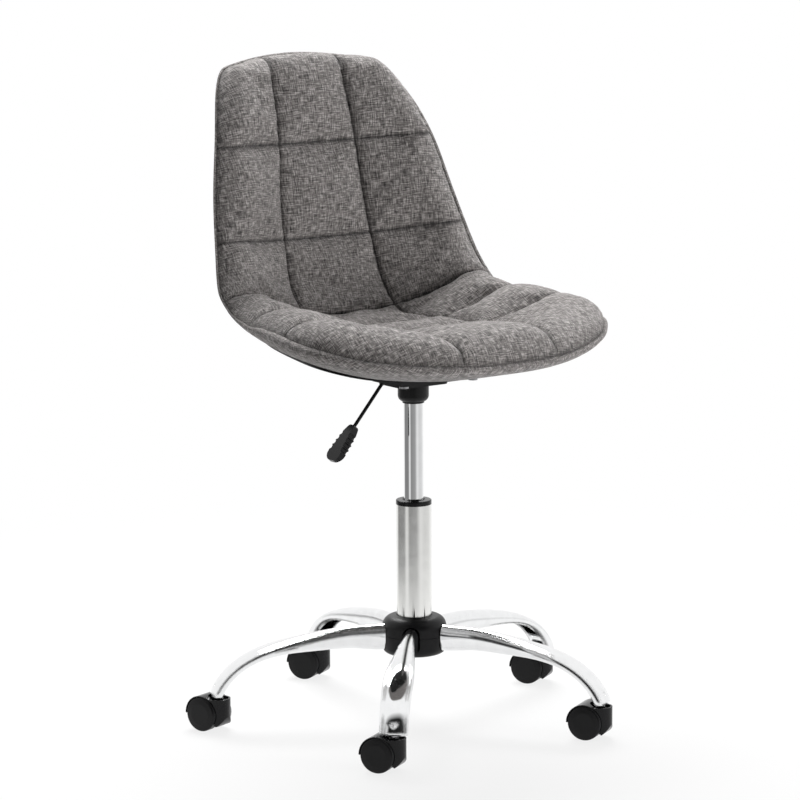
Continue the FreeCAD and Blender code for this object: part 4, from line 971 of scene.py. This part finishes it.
def studio_world(fill):
    """White to the camera, and a grey that lights the object evenly; reflections see a darker front."""
    world = bpy.data.worlds.new("studio_world")
    bpy.context.scene.world = world
    world.use_nodes = True
    tree = world.node_tree
    background = tree.nodes["Background"]
    path = add_node(tree, "LightPath")
    direction = add_node(tree, "TexCoord").outputs["Generated"]
    around = studio_pattern(tree, direction)
    away = level_parts(tree, direction)[0]
    lifted = math_node(tree, "MULTIPLY_ADD", away, 0.5)
    lifted.node.inputs[2].default_value = 0.5
    dimmed = add_node(tree, "Mix", data_type="RGBA", blend_type="MULTIPLY")
    dimmed.inputs[0].default_value = 1.0
    dimmed.inputs[7].default_value = (DARK_SIDE, DARK_SIDE, DARK_SIDE, 1)
    tree.links.new(around, dimmed.inputs[6])
    walls = add_node(tree, "Mix", data_type="RGBA")
    tree.links.new(ramp(tree, lifted, BACKDROP_EDGE), walls.inputs[0])
    tree.links.new(dimmed.outputs[2], walls.inputs[6])
    walls.inputs[7].default_value = (1, 1, 1, 1)
    glossy = add_node(tree, "Mix", data_type="RGBA")
    glossy.inputs[6].default_value = (fill, fill, fill, 1)
    tree.links.new(path.outputs["Is Glossy Ray"], glossy.inputs[0])
    tree.links.new(walls.outputs[2], glossy.inputs[7])
    seen = add_node(tree, "Mix", data_type="RGBA")
    seen.inputs[7].default_value = (1, 1, 1, 1)
    direct = math_node(tree, "MAXIMUM", path.outputs["Is Camera Ray"], path.outputs["Is Transmission Ray"])
    tree.links.new(direct, seen.inputs[0])
    tree.links.new(glossy.outputs[2], seen.inputs[6])
    tree.links.new(seen.outputs[2], background.inputs["Color"])


studio_world(WORLD_FILL)

# %% Lamps
CHAIR_MIDDLE = Vector((0, 0, 0.5))


def softbox(name, place, size, watts):
    """Square-edged lamp aimed at the middle of the chair."""
    data = bpy.data.lights.new(name, "AREA")
    data.shape = "RECTANGLE"
    data.size, data.size_y = size
    data.energy = watts
    lamp = bpy.data.objects.new(name, data)
    lamp.location = place
    aim = CHAIR_MIDDLE - Vector(place)
    lamp.rotation_euler = aim.to_track_quat("-Z", "Y").to_euler()
    bpy.context.scene.collection.objects.link(lamp)
    return lamp


softbox("overhead", (0.7, 1.5, 3.0), (2.0, 2.0), 190)
front_lamp = softbox("front_right", (1.9, -3.0, 0.6), (1.4, 1.2), 90)
front_lamp.visible_glossy = False
softbox("left_side", (-3.2, -0.8, 1.6), (1.0, 2.0), 4)
print("three softboxes light the chair")
